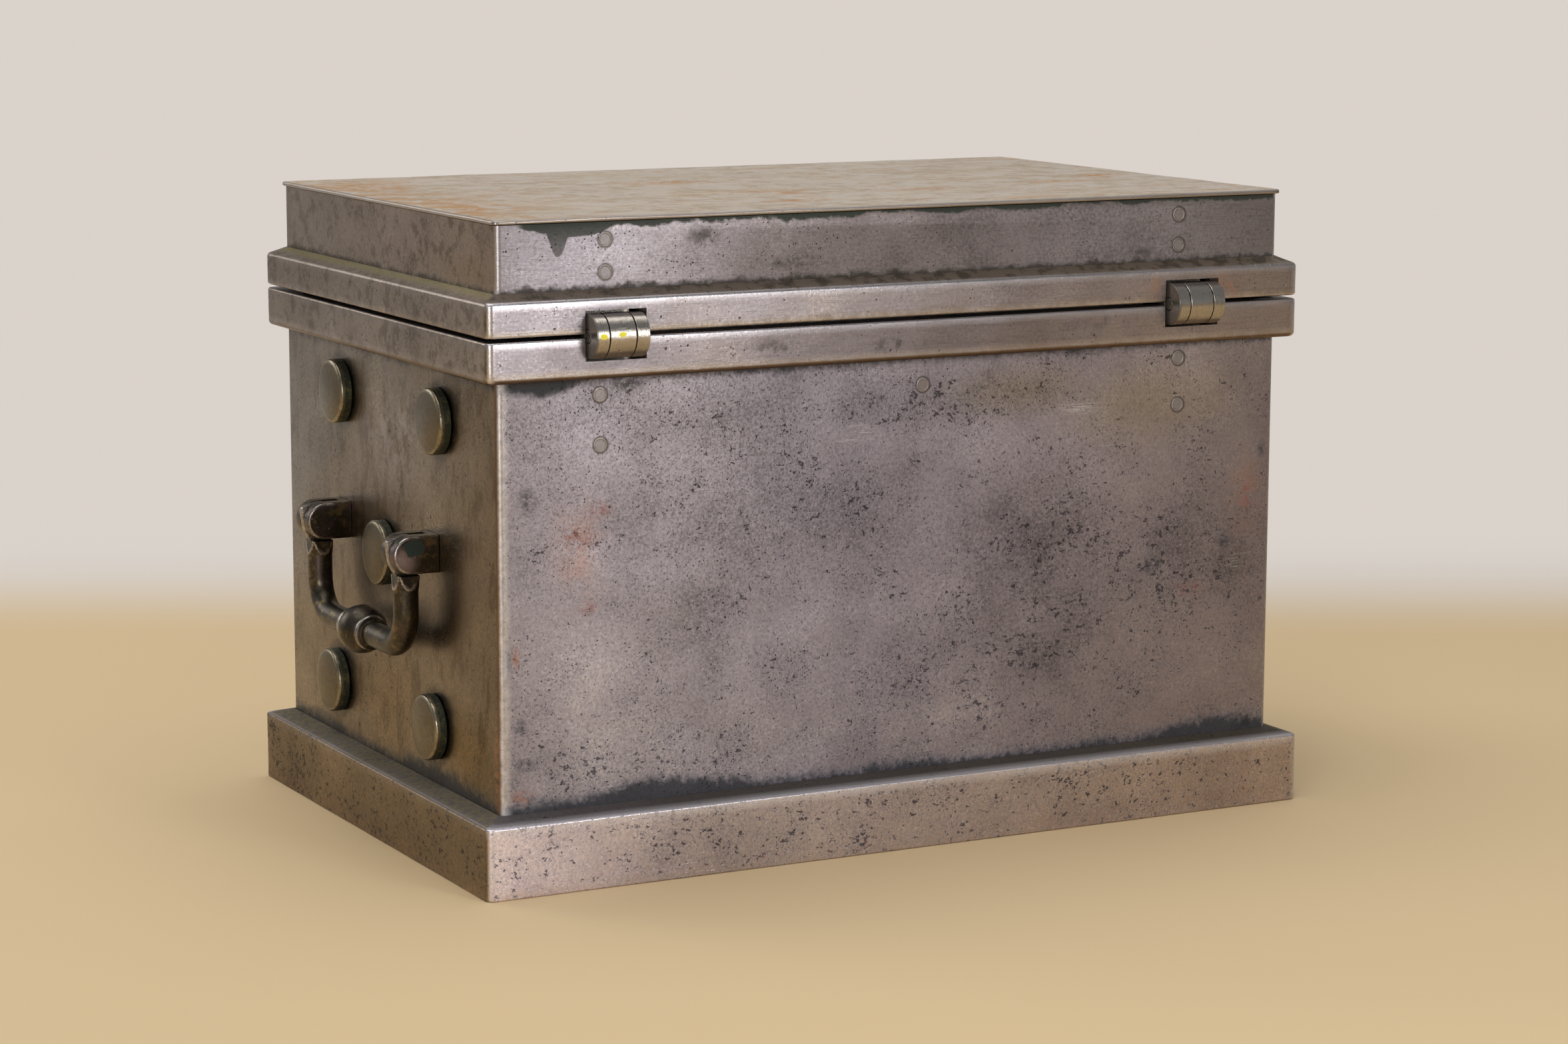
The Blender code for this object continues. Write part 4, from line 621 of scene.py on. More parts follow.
def top_layers(g, roughness):
    """Tan top with rust streaks; the edge is painted dark brown, partly as painted shade, and the underside
    dark.
    """
    face = g.step(g.z, 292.0, 292.6)
    streak = g.noise(1.0, 6, 0.7, g.moved((3, 5, 0), (0, 0, 8), (34, 8, 20)))
    g.paint((0.8, 0.71, 0.6), face, 0.78)
    g.tint((0.74, 0.63, 0.5), face, g.step(g.noise(13, 8, 0.8), 0.47, 0.6), 0.75)
    rusty = g.highest(g.step(streak, 0.57, 0.70),
                      g.times(g.on_top([(20, 31, 36, 12), (33, 87, 30, 12), (-135, 36, 40, 12),
                                        (178, -73, 30, 40), (-52, 51, 30, 10), (-175, 8, 24, 14),
                                        (36, -37, 44, 14), (185, 60, 14, 50)]),
                              g.step(g.noise(4, 6, 0.75), 0.42, 0.58)))
    smear = g.step(g.noise(1.0, 5, 0.7, g.moved((8, 1, 0), (0, 0, -12), (60, 15, 30))), 0.52, 0.66)
    g.paint((0.62, 0.43, 0.24), face, smear, 0.5)
    thin = g.step(g.noise(1.0, 5, 0.7, g.moved((2, 6, 0), (0, 0, 5), (42, 3, 20))), 0.54, 0.66)
    g.paint((0.4, 0.26, 0.14), face, thin, 0.55)
    g.paint((0.58, 0.25, 0.06), face, rusty, 0.9)
    left = g.times(face, g.step(g.x, 120, 196), g.step(g.noise(16, 5, 0.7), 0.42, 0.58))
    g.paint((0.58, 0.31, 0.11), left, 0.7)
    pale = g.times(face, g.on_top([(40, -80, 60, 30), (161, 97, 34, 20)]))
    g.paint((0.62, 0.55, 0.44), pale, 0.4)
    # The edge and its rounded lip are painted dark brown, partly as painted shade under the lip.
    wear = g.attribute("wear")
    g.paint((0.34, 0.295, 0.265), wear, 0.8)
    under = g.step(g.z, 291.1, 290.9)
    g.paint(GRIME, under, 0.8)
    metal = g.other(face, 0.35)
    return metal, g.blend(g.add(roughness, g.times(face, 0.08)), 0.3, wear, 0.6)


def boss_layers(g, roughness):
    """Olive and brown crown, bright rounded edge, dark green side with dust on top."""
    face, wear = g.attribute("face"), g.attribute("wear")
    patch = g.noise(9, 5, 0.66)
    g.paint((0.15, 0.105, 0.045), g.step(patch, 0.44, 0.62), 0.6)
    side = g.other(g.highest(face, wear))
    g.paint(GREEN_BLACK, side, 0.85)
    dusty = g.times(side, g.step(g.noise(2.4, 4, 0.7), 0.5, 0.62))
    g.paint((0.13, 0.12, 0.05), dusty, 0.6)
    ring = g.times(wear, g.remap(g.noise(5, 4, 0.7), 0.36, 0.62, 0.25, 1.0))
    g.paint((0.44, 0.39, 0.28), ring, 0.6)
    metal = g.other(side, 0.6)
    roughness = g.blend(roughness, 0.52, side, 0.7)
    return metal, g.blend(roughness, 0.24, ring, 0.8)


def handle_layers(g, roughness):
    """Dark lacquered iron: purple sheen, olive and golden-brown wear, old paint on the near lug."""
    wear = g.attribute("wear")
    sheen = g.noise(8, 4, 0.62, g.moved((5, 2, 1)))
    purple = g.add(0.35, g.times(g.attribute("lug"), 0.5))
    g.paint((0.115, 0.078, 0.088), g.step(sheen, 0.5, 0.64), purple)
    gold = g.noise(6, 5, 0.7, g.moved((1, 7, 3)))
    g.paint((0.21, 0.155, 0.065), g.step(gold, 0.54, 0.66), 0.65)
    dusty = g.times(g.attribute("top"), g.step(g.noise(1.6, 5, 0.75), 0.44, 0.58))
    g.paint(DUST, dusty, 0.6)
    cheek = g.times(g.step(g.y, 60.9, 61.2), g.attribute("lug"))
    lilac = g.times(cheek, g.spot((216, 61.4, 138), (8, 6, 9)))
    g.paint((0.42, 0.34, 0.38), lilac, 0.8)
    paint = g.times(cheek, g.step(g.add(g.spot((212, 61.4, 143.5), (8, 6, 6.5)),
                                        g.waver(g.noise(3, 4, 0.7), 1.2)), 0.30, 0.42))
    g.paint((0.03, 0.044, 0.04), paint, 0.95)
    ring = g.times(wear, g.remap(g.noise(4, 4, 0.7), 0.36, 0.60, 0.2, 1.0))
    g.paint((0.52, 0.46, 0.42), ring, 0.75)
    metal = g.other(g.highest(g.times(paint, 0.8), g.times(dusty, 0.6)))
    roughness = g.blend(roughness, 0.30, paint)
    return metal, g.blend(roughness, 0.24, ring, 0.8)


def hinge_layers(g, roughness):
    """Bright barrels, brown underneath, painted shade at their ends, with two dabs of yellow paint."""
    under = g.step(g.add(g.z, g.times(g.noise(5, 4, 0.65), 6)), 240.5, 235.0)
    outside = g.step(g.y, 127.2, 128.6)
    flush = g.times(g.step(g.y, 125.6, 126.2), g.other(outside))
    g.paint((0.25, 0.228, 0.235), flush, 0.9)
    g.paint((0.17, 0.125, 0.075), under, outside, 0.75)
    # Painted shade on the barrels' end faces and past them in the pockets.
    ends = g.step(g.size(g.less(g.size(g.x), 147.7)), 12.0, 12.5)
    g.paint((0.085, 0.075, 0.07), ends, outside, 0.7)
    inside = g.other(g.step(g.y, 121.0, 124.0))
    g.tint((0.4, 0.34, 0.28), inside)
    dabs = g.spots([((157.5, 143.6, 243.1), (3.0, 5, 1.9)), ((148.7, 143.6, 243.7), (2.9, 5, 1.8))])
    dab = g.step(g.add(dabs, g.waver(g.noise(1.2, 3, 0.7), 0.8)), 0.28, 0.40)
    g.paint((0.86, 0.76, 0.05), dab, 0.95)
    metal = g.other(g.highest(g.times(dab, 0.95), g.times(ends, outside, 0.4)))
    return metal, g.add(roughness, g.times(inside, 0.2), g.times(dab, 0.15), g.times(flush, 0.2))


def inner_layers(g, roughness):
    """Oily dark iron of the lock and lips, brown with old rust in patches."""
    rust = g.step(g.noise(11, 6, 0.7), 0.54, 0.68)
    g.paint((0.16, 0.075, 0.035), rust, 0.55)
    flush = g.highest(g.step(g.y, 125.6, 126.2), g.step(g.size(g.x), 199.2, 199.8))
    g.paint((0.24, 0.21, 0.205), flush, 0.85)
    return g.other(rust, 0.5), g.add(roughness, g.times(rust, 0.15))


def make_materials():
    steel = (DARK_STEEL, LILAC, PALE_STEEL)
    return {
        "body": worn_iron("body_iron", *steel, "x", 0.12, 0.42, body_zones, body_layers,
                          brushed=0.12, flecked=0.95),
        "lid": worn_iron("lid_iron", *steel, "x", 0.07, 0.36, lid_zones, lid_layers, 17.0, flecked=0.25),
        "plinth": worn_iron("plinth_iron", *steel, "x", 0.10, 0.36, plinth_zones, plinth_layers, 31.0,
                            0.2, 1.0),
        "rim": worn_iron("rim_iron", DARK_STEEL, LILAC, (0.62, 0.57, 0.57), "x", 0.05, 0.30, rim_zones,
                         rim_layers, 53.0, flecked=0.14),
        "top": worn_iron("top_iron", (0.16, 0.12, 0.08), WARM_STEEL, PALE_STEEL, "x", 0.05, 0.42, None,
                         top_layers, 71.0),
        "boss": worn_iron("boss_iron", (0.055, 0.045, 0.032), (0.125, 0.104, 0.072),
                          (0.25, 0.215, 0.155), "z", 0.06, 0.34, None, boss_layers, 83.0),
        "handle": worn_iron("handle_iron", (0.022, 0.021, 0.017), (0.066, 0.057, 0.042),
                            (0.20, 0.165, 0.11), "z", 0.12, 0.33, None, handle_layers, 97.0),
        "hinge": worn_iron("hinge_iron", (0.22, 0.19, 0.165), (0.41, 0.37, 0.325), (0.56, 0.52, 0.46),
                           "z", 0.02, 0.22, None, hinge_layers, 101.0, flecked=0.06),
        "ring": worn_iron("rivet_ring_iron", (0.11, 0.095, 0.09), (0.24, 0.21, 0.20), (0.40, 0.36, 0.34),
                          "x", 0.05, 0.40, None, None, 107.0, flecked=0.1),
        "inner": worn_iron("inner_iron", (0.035, 0.029, 0.024), (0.095, 0.077, 0.063),
                           (0.18, 0.15, 0.13), "x", 0.10, 0.48, None, inner_layers, 113.0),
    }


def material_key(node):
    for start, key in (("body_sheet", "body"), ("body_front", "body"), ("bottom_plate", "body"),
                       ("lid_sheet", "lid"), ("lid_front", "lid"), ("plinth", "plinth"),
                       ("body_rim", "rim"), ("lid_rim", "rim"), ("top_plate", "top"), ("boss_", "boss"),
                       ("keyhole_cover", "boss"), ("handle_lug", "handle"), ("bail_", "handle"),
                       ("hinge_", "hinge")):
        if node.startswith(start):
            return key
    return "inner"


# Shapes. Every point is in millimetres until a piece is made of it.

def arc(centre, radius, start, end, steps):
    turns = [math.radians(start + (end - start) * step / steps) for step in range(steps + 1)]
    return [(centre[0] + radius * math.cos(turn), centre[1] + radius * math.sin(turn)) for turn in turns]


def loft(rings, capped=True, looped=False):
    """Points and faces of a skin over closed rings of equal length."""
    count = len(rings[0])
    points = [point for ring in rings for point in ring]
    faces = []
    for row in range(len(rings) if looped else len(rings) - 1):
        here, there = row * count, (row + 1) % len(rings) * count
        for column in range(count):
            after = (column + 1) % count
            faces.append((here + column, here + after, there + after, there + column))
    if capped and not looped:
        faces.append(tuple(reversed(range(count))))
        faces.append(tuple(range(len(points) - count, len(points))))
    return points, faces


def shake(point, grain, amount, seed=0.0):
    """A smooth random number from 0 to the amount at a point."""
    return amount * (0.5 + 0.5 * noise.noise(Vector(point) / grain + Vector((seed, -seed, seed))))


def build_mesh(name, shells, crease=EDGE_ANGLE):
    """A mesh from shells of (points, faces, numbers stored on the points by name)."""
    points, faces, stored = [], [], {}
    for shell in shells:
        start = len(points)
        points += [tuple(value / 1000.0 for value in point) for point in shell[0]]
        faces += [tuple(index + start for index in face) for face in shell[1]]
        for key, values in (shell[2] if len(shell) > 2 else {}).items():
            stored.setdefault(key, {}).update({start + index: value for index, value in enumerate(values)})
    mesh = bpy.data.meshes.new(name)
    mesh.from_pydata(points, [], faces)
    for key, values in stored.items():
        layer = mesh.attributes.new(key, "FLOAT", "POINT")
        layer.data.foreach_set("value", [values.get(index, 0.0) for index in range(len(points))])
    bm = bmesh.new()
    bm.from_mesh(mesh)
    bmesh.ops.recalc_face_normals(bm, faces=bm.faces)
    bm.to_mesh(mesh)
    bm.free()
    mesh.shade_smooth()
    mesh.set_sharp_from_angle(angle=math.radians(crease))
    return mesh


def add_piece(name, mesh, material, body, slot, *replaced):
    """A detailed piece that moves with a body and stands for the CAD nodes named, if any."""
    piece = bpy.data.objects.new(name, mesh)
    bpy.context.scene.collection.objects.link(piece)
    mesh.materials.clear()
    mesh.materials.append(material)
    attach(piece, body)
    if replaced:
        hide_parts(*replaced)


def cut(mesh, boxes):
    """The mesh with boxes cut out of it."""
    scene = bpy.context.scene
    piece = bpy.data.objects.new("uncut", mesh)
    scene.collection.objects.link(piece)
    cutters = []
    for low, high in boxes:
        corners = [(x, y, z) for z in (low[2], high[2]) for x, y in
                   ((low[0], low[1]), (high[0], low[1]), (high[0], high[1]), (low[0], high[1]))]
        block = build_mesh("cutter", [loft([corners[:4], corners[4:]])])
        cutter = bpy.data.objects.new("cutter", block)
        scene.collection.objects.link(cutter)
        cutters.append(cutter)
        modifier = piece.modifiers.new("cut", "BOOLEAN")
        modifier.operation = "DIFFERENCE"
        modifier.solver = "EXACT"
        modifier.object = cutter
    graph = bpy.context.evaluated_depsgraph_get()
    result = bpy.data.meshes.new_from_object(piece.evaluated_get(graph))
    for item in [piece] + cutters:
        bpy.data.objects.remove(item)
    result.shade_smooth()
    result.set_sharp_from_angle(angle=math.radians(EDGE_ANGLE))
    return result


def turned(profile, place, steps=72, wobble=0.0):
    """Rings round an axis for (radius, height, mark) points; place(u, v, w) puts a point in the world."""
    rings = []
    for radius, height, _ in profile:
        ring = []
        for step in range(steps):
            turn = 2 * math.pi * step / steps
            u, v = math.cos(turn), math.sin(turn)
            reach = radius - shake((u * 15, v * 15, height), 9.0, wobble) * min(1.0, radius / 8)
            ring.append(place(u * reach, v * reach, height))
        rings.append(ring)
    return rings


def side_place(side, offset, height, distance):
    """Puts (along the wall, up, out) on a side of the box."""
    if side == "right":
        return lambda u, v, w: (distance + w, offset + u, height + v)
    if side == "left":
        return lambda u, v, w: (-distance - w, offset + u, height + v)
    if side == "back":
        return lambda u, v, w: (offset + u, distance + w, height + v)
    return lambda u, v, w: (offset + u, -distance - w, height + v)


# (radius, height, part) points of a shank's domed tail inside the wall
TAIL = [(5.9, -3.3, 0), (5.9, -3.9, 0), (5.4, -4.7, 0), (4.4, -5.2, 0), (2.4, -5.45, 0), (0.02, -5.5, 0)]


def boss_profile():
    """(radius, height, part) points of a boss: 1 on the crown, 2 on the worn edge, 0 on the side."""
    flat = BOSS_RADIUS - BOSS_ROUND
    profile = [(BOSS_RADIUS - 0.6, FIT, 0)] + [(BOSS_RADIUS, height, 0) for height in (0.7, 2.0, 3.6)]
    profile += [(flat + x, BOSS_FACE - BOSS_ROUND + y, 2) for x, y in arc((0, 0), BOSS_ROUND, 0, 62, 7)]
    curve = flat ** 2 / (2 * (BOSS_CROWN - BOSS_FACE))
    for radius in (13.0, 11.5, 9.5, 7.5, 5.5, 3.5, 1.6, 0.02):
        profile.append((radius, BOSS_CROWN - radius ** 2 / (2 * curve), 1))
    return profile


def build_bosses(material):
    """Turned bosses with rounded worn edges; the inner ends of their shanks are domed."""
    profile = boss_profile()
    steps = 72
    for name in sorted(NODES):
        if not name.startswith("boss_") and name != "keyhole_cover":
            continue
        side = "front" if name == "keyhole_cover" else name.split("_")[1]
        low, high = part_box(name)
        middle = (low + high) * 500.0
        distance = HALF_Y if side == "front" else HALF_X
        place = side_place(side, middle.x if side == "front" else middle.y, middle.z, distance)
        rings = turned(profile, place, steps, 0.14)
        face = [1.0 if mark == 1 else 0.0 for _, _, mark in profile for _ in range(steps)]
        wear = [1.0 if mark == 2 else 0.0 for _, _, mark in profile for _ in range(steps)]
        shells = [(*loft(rings), {"face": face, "wear": wear})]
        if name != "keyhole_cover":
            shells.append((*loft(turned(TAIL, place, 32)), {}))
        piece_mesh = build_mesh(name + "_turned", shells)
        body = "keyhole_cover" if name == "keyhole_cover" else "box"
        add_piece(name + "_turned", piece_mesh, material, body, "boss_steel", name)


def lug_rings(sign, offset):
    """Rings of a D-shaped lug across its width, its outer edges rounded."""
    radius, width, edge = LUG_RADIUS, LUG_WIDTH, LUG_EDGE
    half = width / 2
    stations = [-half + edge * (1 - math.cos(math.radians(turn))) for turn in (0, 18, 36, 54, 72, 90)]
    stations += [-half + edge + (width - 2 * edge) * step / 8 for step in range(1, 8)]
    stations += [-value for value in reversed(stations[:6])]
    rings, wear, top = [], [], []
    for station in stations:
        past = max(0.0, abs(station) - (half - edge))
        inset = edge - math.sqrt(max(0.0, edge ** 2 - past ** 2))
        outline = arc((0, 0), radius - inset, -90, 90, 36)
        outline += [(x, radius - inset) for x in (-3.0, -6.0, -9.0, -PIVOT_OUT + FIT)]
        outline += [(x, -radius + inset) for x in (-PIVOT_OUT + FIT, -9.0, -6.0, -3.0)]
        ring = []
        for x, z in outline:
            dip = 1.0 - shake((x, station, z), 6.0, 0.16, offset) / 9.0 if x > -12 else 1.0
            ring.append((sign * (HALF_X + PIVOT_OUT + x), offset + station, PIVOT_Z + z * dip))
            wear.append(1.0 if 0.15 < inset < 1.0 and x > -4 else 0.0)
            top.append(1.0 if z > radius * 0.9 and x < 1 else 0.0)
        rings.append(ring)
    return rings, wear, top


def build_lugs(side, material):
    """The forked lugs of one handle, with the pins they carry."""
    sign = 1 if side == "right" else -1
    for end, offset in (("front", -HANDLE_SPAN), ("back", HANDLE_SPAN)):
        rings, wear, top = lug_rings(sign, offset)
        points, faces = loft(rings)
        stored = {"wear": wear, "top": top, "lug": [1.0] * len(points)}
        place = side_place(side, offset, PIVOT_Z, HALF_X)
        mesh = build_mesh("lug", [(points, faces, stored)])
        start = sign * (HALF_X + PIVOT_OUT - SLOT_DEPTH)
        low, high = sorted((start, start + sign * 40))
        half = LUG_SLOT / 2
        mesh = cut(mesh, [((low, offset - half, PIVOT_Z - 20), (high, offset + half, PIVOT_Z + 20))])
        lug = "handle_lug_" + side + "_" + end
        pin = "bail_pin_" + side + "_" + end
        add_piece(lug + "_forged", mesh, material, "box", "dark_iron", lug, pin)
        tail = build_mesh("tail", [(*loft(turned(TAIL, place, 32)), {})])
        add_piece(lug + "_tail", tail, material, "box", "dark_iron")


def bail_bar(to_world):
    """The swept bar of a bail, a little uneven as forged."""
    inner, low = HANDLE_SPAN - BAR_BEND, -BAR_DROP + BAR_BEND
    half = [(HANDLE_SPAN, z) for z in (-14.6, -16.6, -18.6, -20.6, -22.6, -24.6)]
    half += arc((inner, low), BAR_BEND, 0, -90, 22)
    half += [(inner - step * 3.0, -BAR_DROP) for step in range(1, 12)]
    route = half + [(-y, z) for y, z in reversed(half)]
    rings, wear = [], []
    steps = 48
    for index, (y, z) in enumerate(route):
        before, after = route[max(index - 1, 0)], route[min(index + 1, len(route) - 1)]
        run = Vector((0, after[0] - before[0], after[1] - before[1])).normalized()
        across = run.cross(Vector((1, 0, 0)))
        ring = []
        for step in range(steps):
            turn = 2 * math.pi * step / steps
            way = Vector((math.cos(turn), 0, 0)) + across * math.sin(turn)
            reach = BAR_RADIUS - shake((way.x * 6, y + way.y * 6, z + way.z * 6), 11.0, 0.28, 3.0)
            ring.append(to_world(way.x * reach, y + way.y * reach, z + way.z * reach))
            wear.append(0.0)
        rings.append(ring)
    return (*loft(rings), {"wear": wear})


def bail_shoulder(to_world, offset):
    """The squared shoulder, whose flats run out into the round bar."""
    rings, wear = [], []
    steps = 72
    levels = [-9.4, -9.55, -9.9, -10.6, -11.4, -12.2, -13.0, -13.8, -14.6, -15.4, -16.2]
    for z in levels:
        share = min(1.0, max(0.0, (-9.9 - z) / 6.3))
        reach = 6.95 - 1.05 * share ** 0.7
        flat = 5.1 + 0.95 * share ** 1.6
        trim = {-9.4: 0.75, -9.55: 0.35}.get(z, 0.0)
        ring = []
        for step in range(steps):
            turn = 2 * math.pi * step / steps
            x, y = math.cos(turn), math.sin(turn)
            to_flat = flat / max(abs(x), abs(y))
            length = min(reach, to_flat) - trim
            ring.append(to_world(x * length, offset + y * length, z))
            wear.append(1.0 if abs(reach - to_flat) < 0.32 or trim > 0.5 else 0.0)
        rings.append(ring)
    return (*loft(rings), {"wear": wear})


def bail_eye(to_world, offset):
    """The flat eye of a bail: square nose, hollow chin, edges worn round."""
    half, edge = EYE_HALF_WIDTH, 0.45
    outline = [(0.6, EYE_RADIUS), (2.0, 8.25), (4.0, 7.75), (6.0, 7.1), (8.0, 6.5), (8.7, 6.2), (9.05, 5.7),
               (9.0, 3.0), (8.75, 0.0), (8.3, -2.7), (7.85, -4.4), (7.15, -6.0), (6.3, -7.6), (5.4, -9.0),
               (4.9, -10.4), (-4.9, -10.4), (-5.3, -9.0), (-6.0, -7.2)]
    outline += arc((0, 0), EYE_RADIUS, 222, 96, 24)
    middle = (1.0, -1.0)
    rings, wear = [], []
    for station, inset in ((-half, edge), (-half + 0.13, 0.13), (-half + edge, 0.0), (half - edge, 0.0),
                           (half - 0.13, 0.13), (half, edge)):
        ring = []
        for x, z in outline:
            way = Vector((x - middle[0], z - middle[1])).normalized()
            ring.append(to_world(x - way.x * inset, offset + station, z - way.y * inset))
            wear.append(1.0 if x > 4 and z > -9 else 0.3)
        rings.append(ring)
    return (*loft(rings), {"wear": wear})


def bail_knop(to_world):
    """The ball and its two collars, turned about the bar."""
    side = [(5.6, 13.3, 0), (6.1, 12.85, 0), (7.3, 12.6, 0), (7.85, 12.4, 1), (8.12, 12.0, 1),
            (8.2, 11.5, 1), (8.2, 10.3, 1), (8.12, 9.9, 1), (7.85, 9.6, 0), (7.2, 9.45, 0), (6.75, 9.3, 0)]
    ball = [(y, x, 0) for x, y in arc((0, 0), BALL_RADIUS, 36.5, 143.5, 30)]
    profile = side + ball + [(radius, -height, mark) for radius, height, mark in reversed(side)]
    steps = 72
    rings = turned(profile, lambda u, v, w: to_world(u, w, v - BAR_DROP), steps, 0.12)
    wear = [1.0 if mark else 0.0 for _, _, mark in profile for _ in range(steps)]
    return (*loft(rings), {"wear": wear})


def build_bail(side, material):
    """A forged drop handle in one piece."""
    sign = 1 if side == "right" else -1

    def to_world(x, y, z):
        return (sign * (HALF_X + PIVOT_OUT + x), y, PIVOT_Z + z)

    shells = [bail_bar(to_world), bail_knop(to_world)]
    for offset in (-HANDLE_SPAN, HANDLE_SPAN):
        shells += [bail_shoulder(to_world, offset), bail_eye(to_world, offset)]
    mesh = build_mesh("bail_" + side + "_forged", shells, 28.0)
    add_piece("bail_" + side + "_forged", mesh, material, "bail_" + side, "dark_iron", "bail_" + side)


def ring_path(out, radius, pitch=4.0):
    """Points round the box at a distance out from its walls; always as many for the same pitch."""
    half_x, half_y = HALF_X + out, HALF_Y + out
    count_x, count_y = int(2 * HALF_X / pitch), int(2 * HALF_Y / pitch)
    corners = []
    for turn, (x, y) in zip((-90, 0, 90, 180), ((1, -1), (1, 1), (-1, 1), (-1, -1))):
        centre = (x * (half_x - radius), y * (half_y - radius))
        corners.append(arc(centre, radius, turn, turn + 90, 8))
    points = []
    for number, corner in enumerate(corners):
        points += corner
        start, end = corner[-1], corners[(number + 1) % 4][0]
        count = count_y if number % 2 == 0 else count_x
        for step in range(1, count):
            share = step / count
            points.append((start[0] + (end[0] - start[0]) * share, start[1] + (end[1] - start[1]) * share))
    return points


def moulding(section, corner, wave, seed):
    """A hand-finished bar bent round the box. section: (out, height, worn) points."""
    loops, wear = [], []
    for out, height, worn in section:
        radius = WALL_CORNER + FIT if out <= FIT + 0.01 else corner
        loop = []
        for x, y in ring_path(out, radius):
            if out > FIT + 0.01:
                dip = shake((x, y, height), 34.0, wave, seed)
                dip += shake((x, y, height * 2), 6.0, wave * 0.35, seed)
                scale_x = 1 - dip / abs(x) if abs(x) > HALF_X + out - corner - 0.5 else 1
                scale_y = 1 - dip / abs(y) if abs(y) > HALF_Y + out - corner - 0.5 else 1
                x, y = x * scale_x, y * scale_y
            loop.append((x, y, height))
            wear.append(worn)
        loops.append(loop)
    points, faces = loft(loops, looped=True)
    return points, faces, {"wear": wear}


def bar_section(overhang, low, high, rise, low_round, high_round, levels=3):
    """The section of a bar: rounded outer edges, its top sloping up to the wall."""
    tilt = math.degrees(math.atan2(rise, overhang))
    section = [(FIT, low, 0.0), (overhang * 0.5, low, 0.0)]
    section += [(x, y, 1.0) for x, y in arc((overhang - low_round, low + low_round), low_round, -90, 0, 6)]
    reach = high_round * math.tan(math.radians(90 - tilt) / 2)
    first, last = low + low_round, high - reach
    section += [(overhang, first + (last - first) * step / (levels + 1), 0.0)
                for step in range(1, levels + 1)]
    centre = (overhang - high_round, high - reach)
    section += [(x, y, 1.0) for x, y in arc(centre, high_round, 0, 90 - tilt, 6)]
    middle = overhang * 0.5
    section.append((middle, high + rise * (1 - middle / overhang), 0.0))
    return section + [(FIT, high + rise * (1 - FIT / overhang), 0.0)]


def build_mouldings(materials):
    """The plinth and the two rims, with the hinges' pockets."""
    section = bar_section(PLINTH_OUT, 0.0, 31.9, 3.1, 0.9, 0.9, 6)
    plinth = build_mesh("plinth_bent", [moulding(section, 3.6, 0.4, 1.0)])
    add_piece("plinth_bent", plinth, materials["plinth"], "box", "back_steel", "plinth")
    pockets = [((x - width / 2, HALF_Y - 5, POCKET_Z[0]), (x + width / 2, HALF_Y + 20, POCKET_Z[1]))
               for x, width in HINGE_POCKETS]
    for name, body, section in (("body_rim", "box", bar_section(RIM_OUT, 223.7, 241.8, 0.0, 2.1, 1.1, 4)),
                                ("lid_rim", "lid", bar_section(RIM_OUT, 243.3, 258.2, 3.6, 1.1, 2.1, 4))):
        mesh = build_mesh(name, [moulding(section, 3.2, 0.35, 5.0)])
        add_piece(name + "_bent", cut(mesh, pockets), materials["rim"], body, "back_steel", name)


def build_top(material):
    """The top plate as a thin sheet whose surface and edge are a little uneven."""
    half_x, half_y = HALF_X + PLATE_OVERHANG, HALF_Y + PLATE_OVERHANG
    edge, corner = 0.85, 3.0

    def stations(half):
        near = [0.0, 0.12, 0.4, 0.85, 1.5, 3.0, 5.5]
        count = int(half / 4)
        inner = [5.5 + (half - 5.5) * step / count for step in range(1, count)]
        side = near + inner
        return [value - half for value in side] + [0.0] + [half - value for value in reversed(side)]

    columns, rows = stations(half_x), stations(half_y)
    top, border = [], []
    for y in rows:
        for x in columns:
            px, py = x, y
            over_x, over_y = abs(x) - (half_x - corner), abs(y) - (half_y - corner)
            if over_x > 0 and over_y > 0:
                length = math.hypot(over_x, over_y)
                share = max(over_x, over_y) / length
                px = math.copysign(half_x - corner + over_x * share, x)
                py = math.copysign(half_y - corner + over_y * share, y)
                inside = corner - max(over_x, over_y)
            else:
                inside = min(half_x - abs(x), half_y - abs(y))
            fall = edge - math.sqrt(max(0.0, edge ** 2 - max(0.0, edge - inside) ** 2))
            near = max(0.0, 1 - inside / 6.0)
            dip = shake((x, y, 0), 42.0, 0.55, 2.0) + shake((x, y, 9), 9.0, 0.10, 4.0)
            pull = near * shake((x, y, 3), 30.0, 0.45, 7.0)
            px -= math.copysign(pull, px) if half_x - abs(x) < 6 else 0.0
            py -= math.copysign(pull, py) if half_y - abs(y) < 6 else 0.0
            top.append((px, py, PLATE_TOP - fall - dip * 0.8))
            border.append(1.0 if inside < 0.9 else 0.0)
    wide, tall = len(columns), len(rows)
    faces = [(r * wide + c, r * wide + c + 1, (r + 1) * wide + c + 1, (r + 1) * wide + c)
             for r in range(tall - 1) for c in range(wide - 1)]
    rim = [c for c in range(wide)] + [r * wide + wide - 1 for r in range(1, tall)]
    rim += [(tall - 1) * wide + c for c in range(wide - 2, -1, -1)]
    rim += [r * wide for r in range(tall - 2, 0, -1)]
    low = [(top[index][0], top[index][1], LID_TOP + 0.35) for index in rim]
    under = [(x * (1 - 0.4 / half_x), y * (1 - 0.4 / half_y), LID_TOP) for x, y, _ in low]
    start = len(top)
    count = len(rim)
    points = top + low + under
    for step in range(count):
        after = (step + 1) % count
        faces.append((rim[step], rim[after], start + after, start + step))
        faces.append((start + step, start + after, start + count + after, start + count + step))
    faces.append(tuple(start + count + step for step in range(count)))
    wear = border + [1.0] * count + [0.0] * count
    mesh = build_mesh("top_plate_hammered", [(points, faces, {"wear": wear})], 50.0)
    add_piece("top_plate_hammered", mesh, material, "lid", "top_steel", "top_plate")


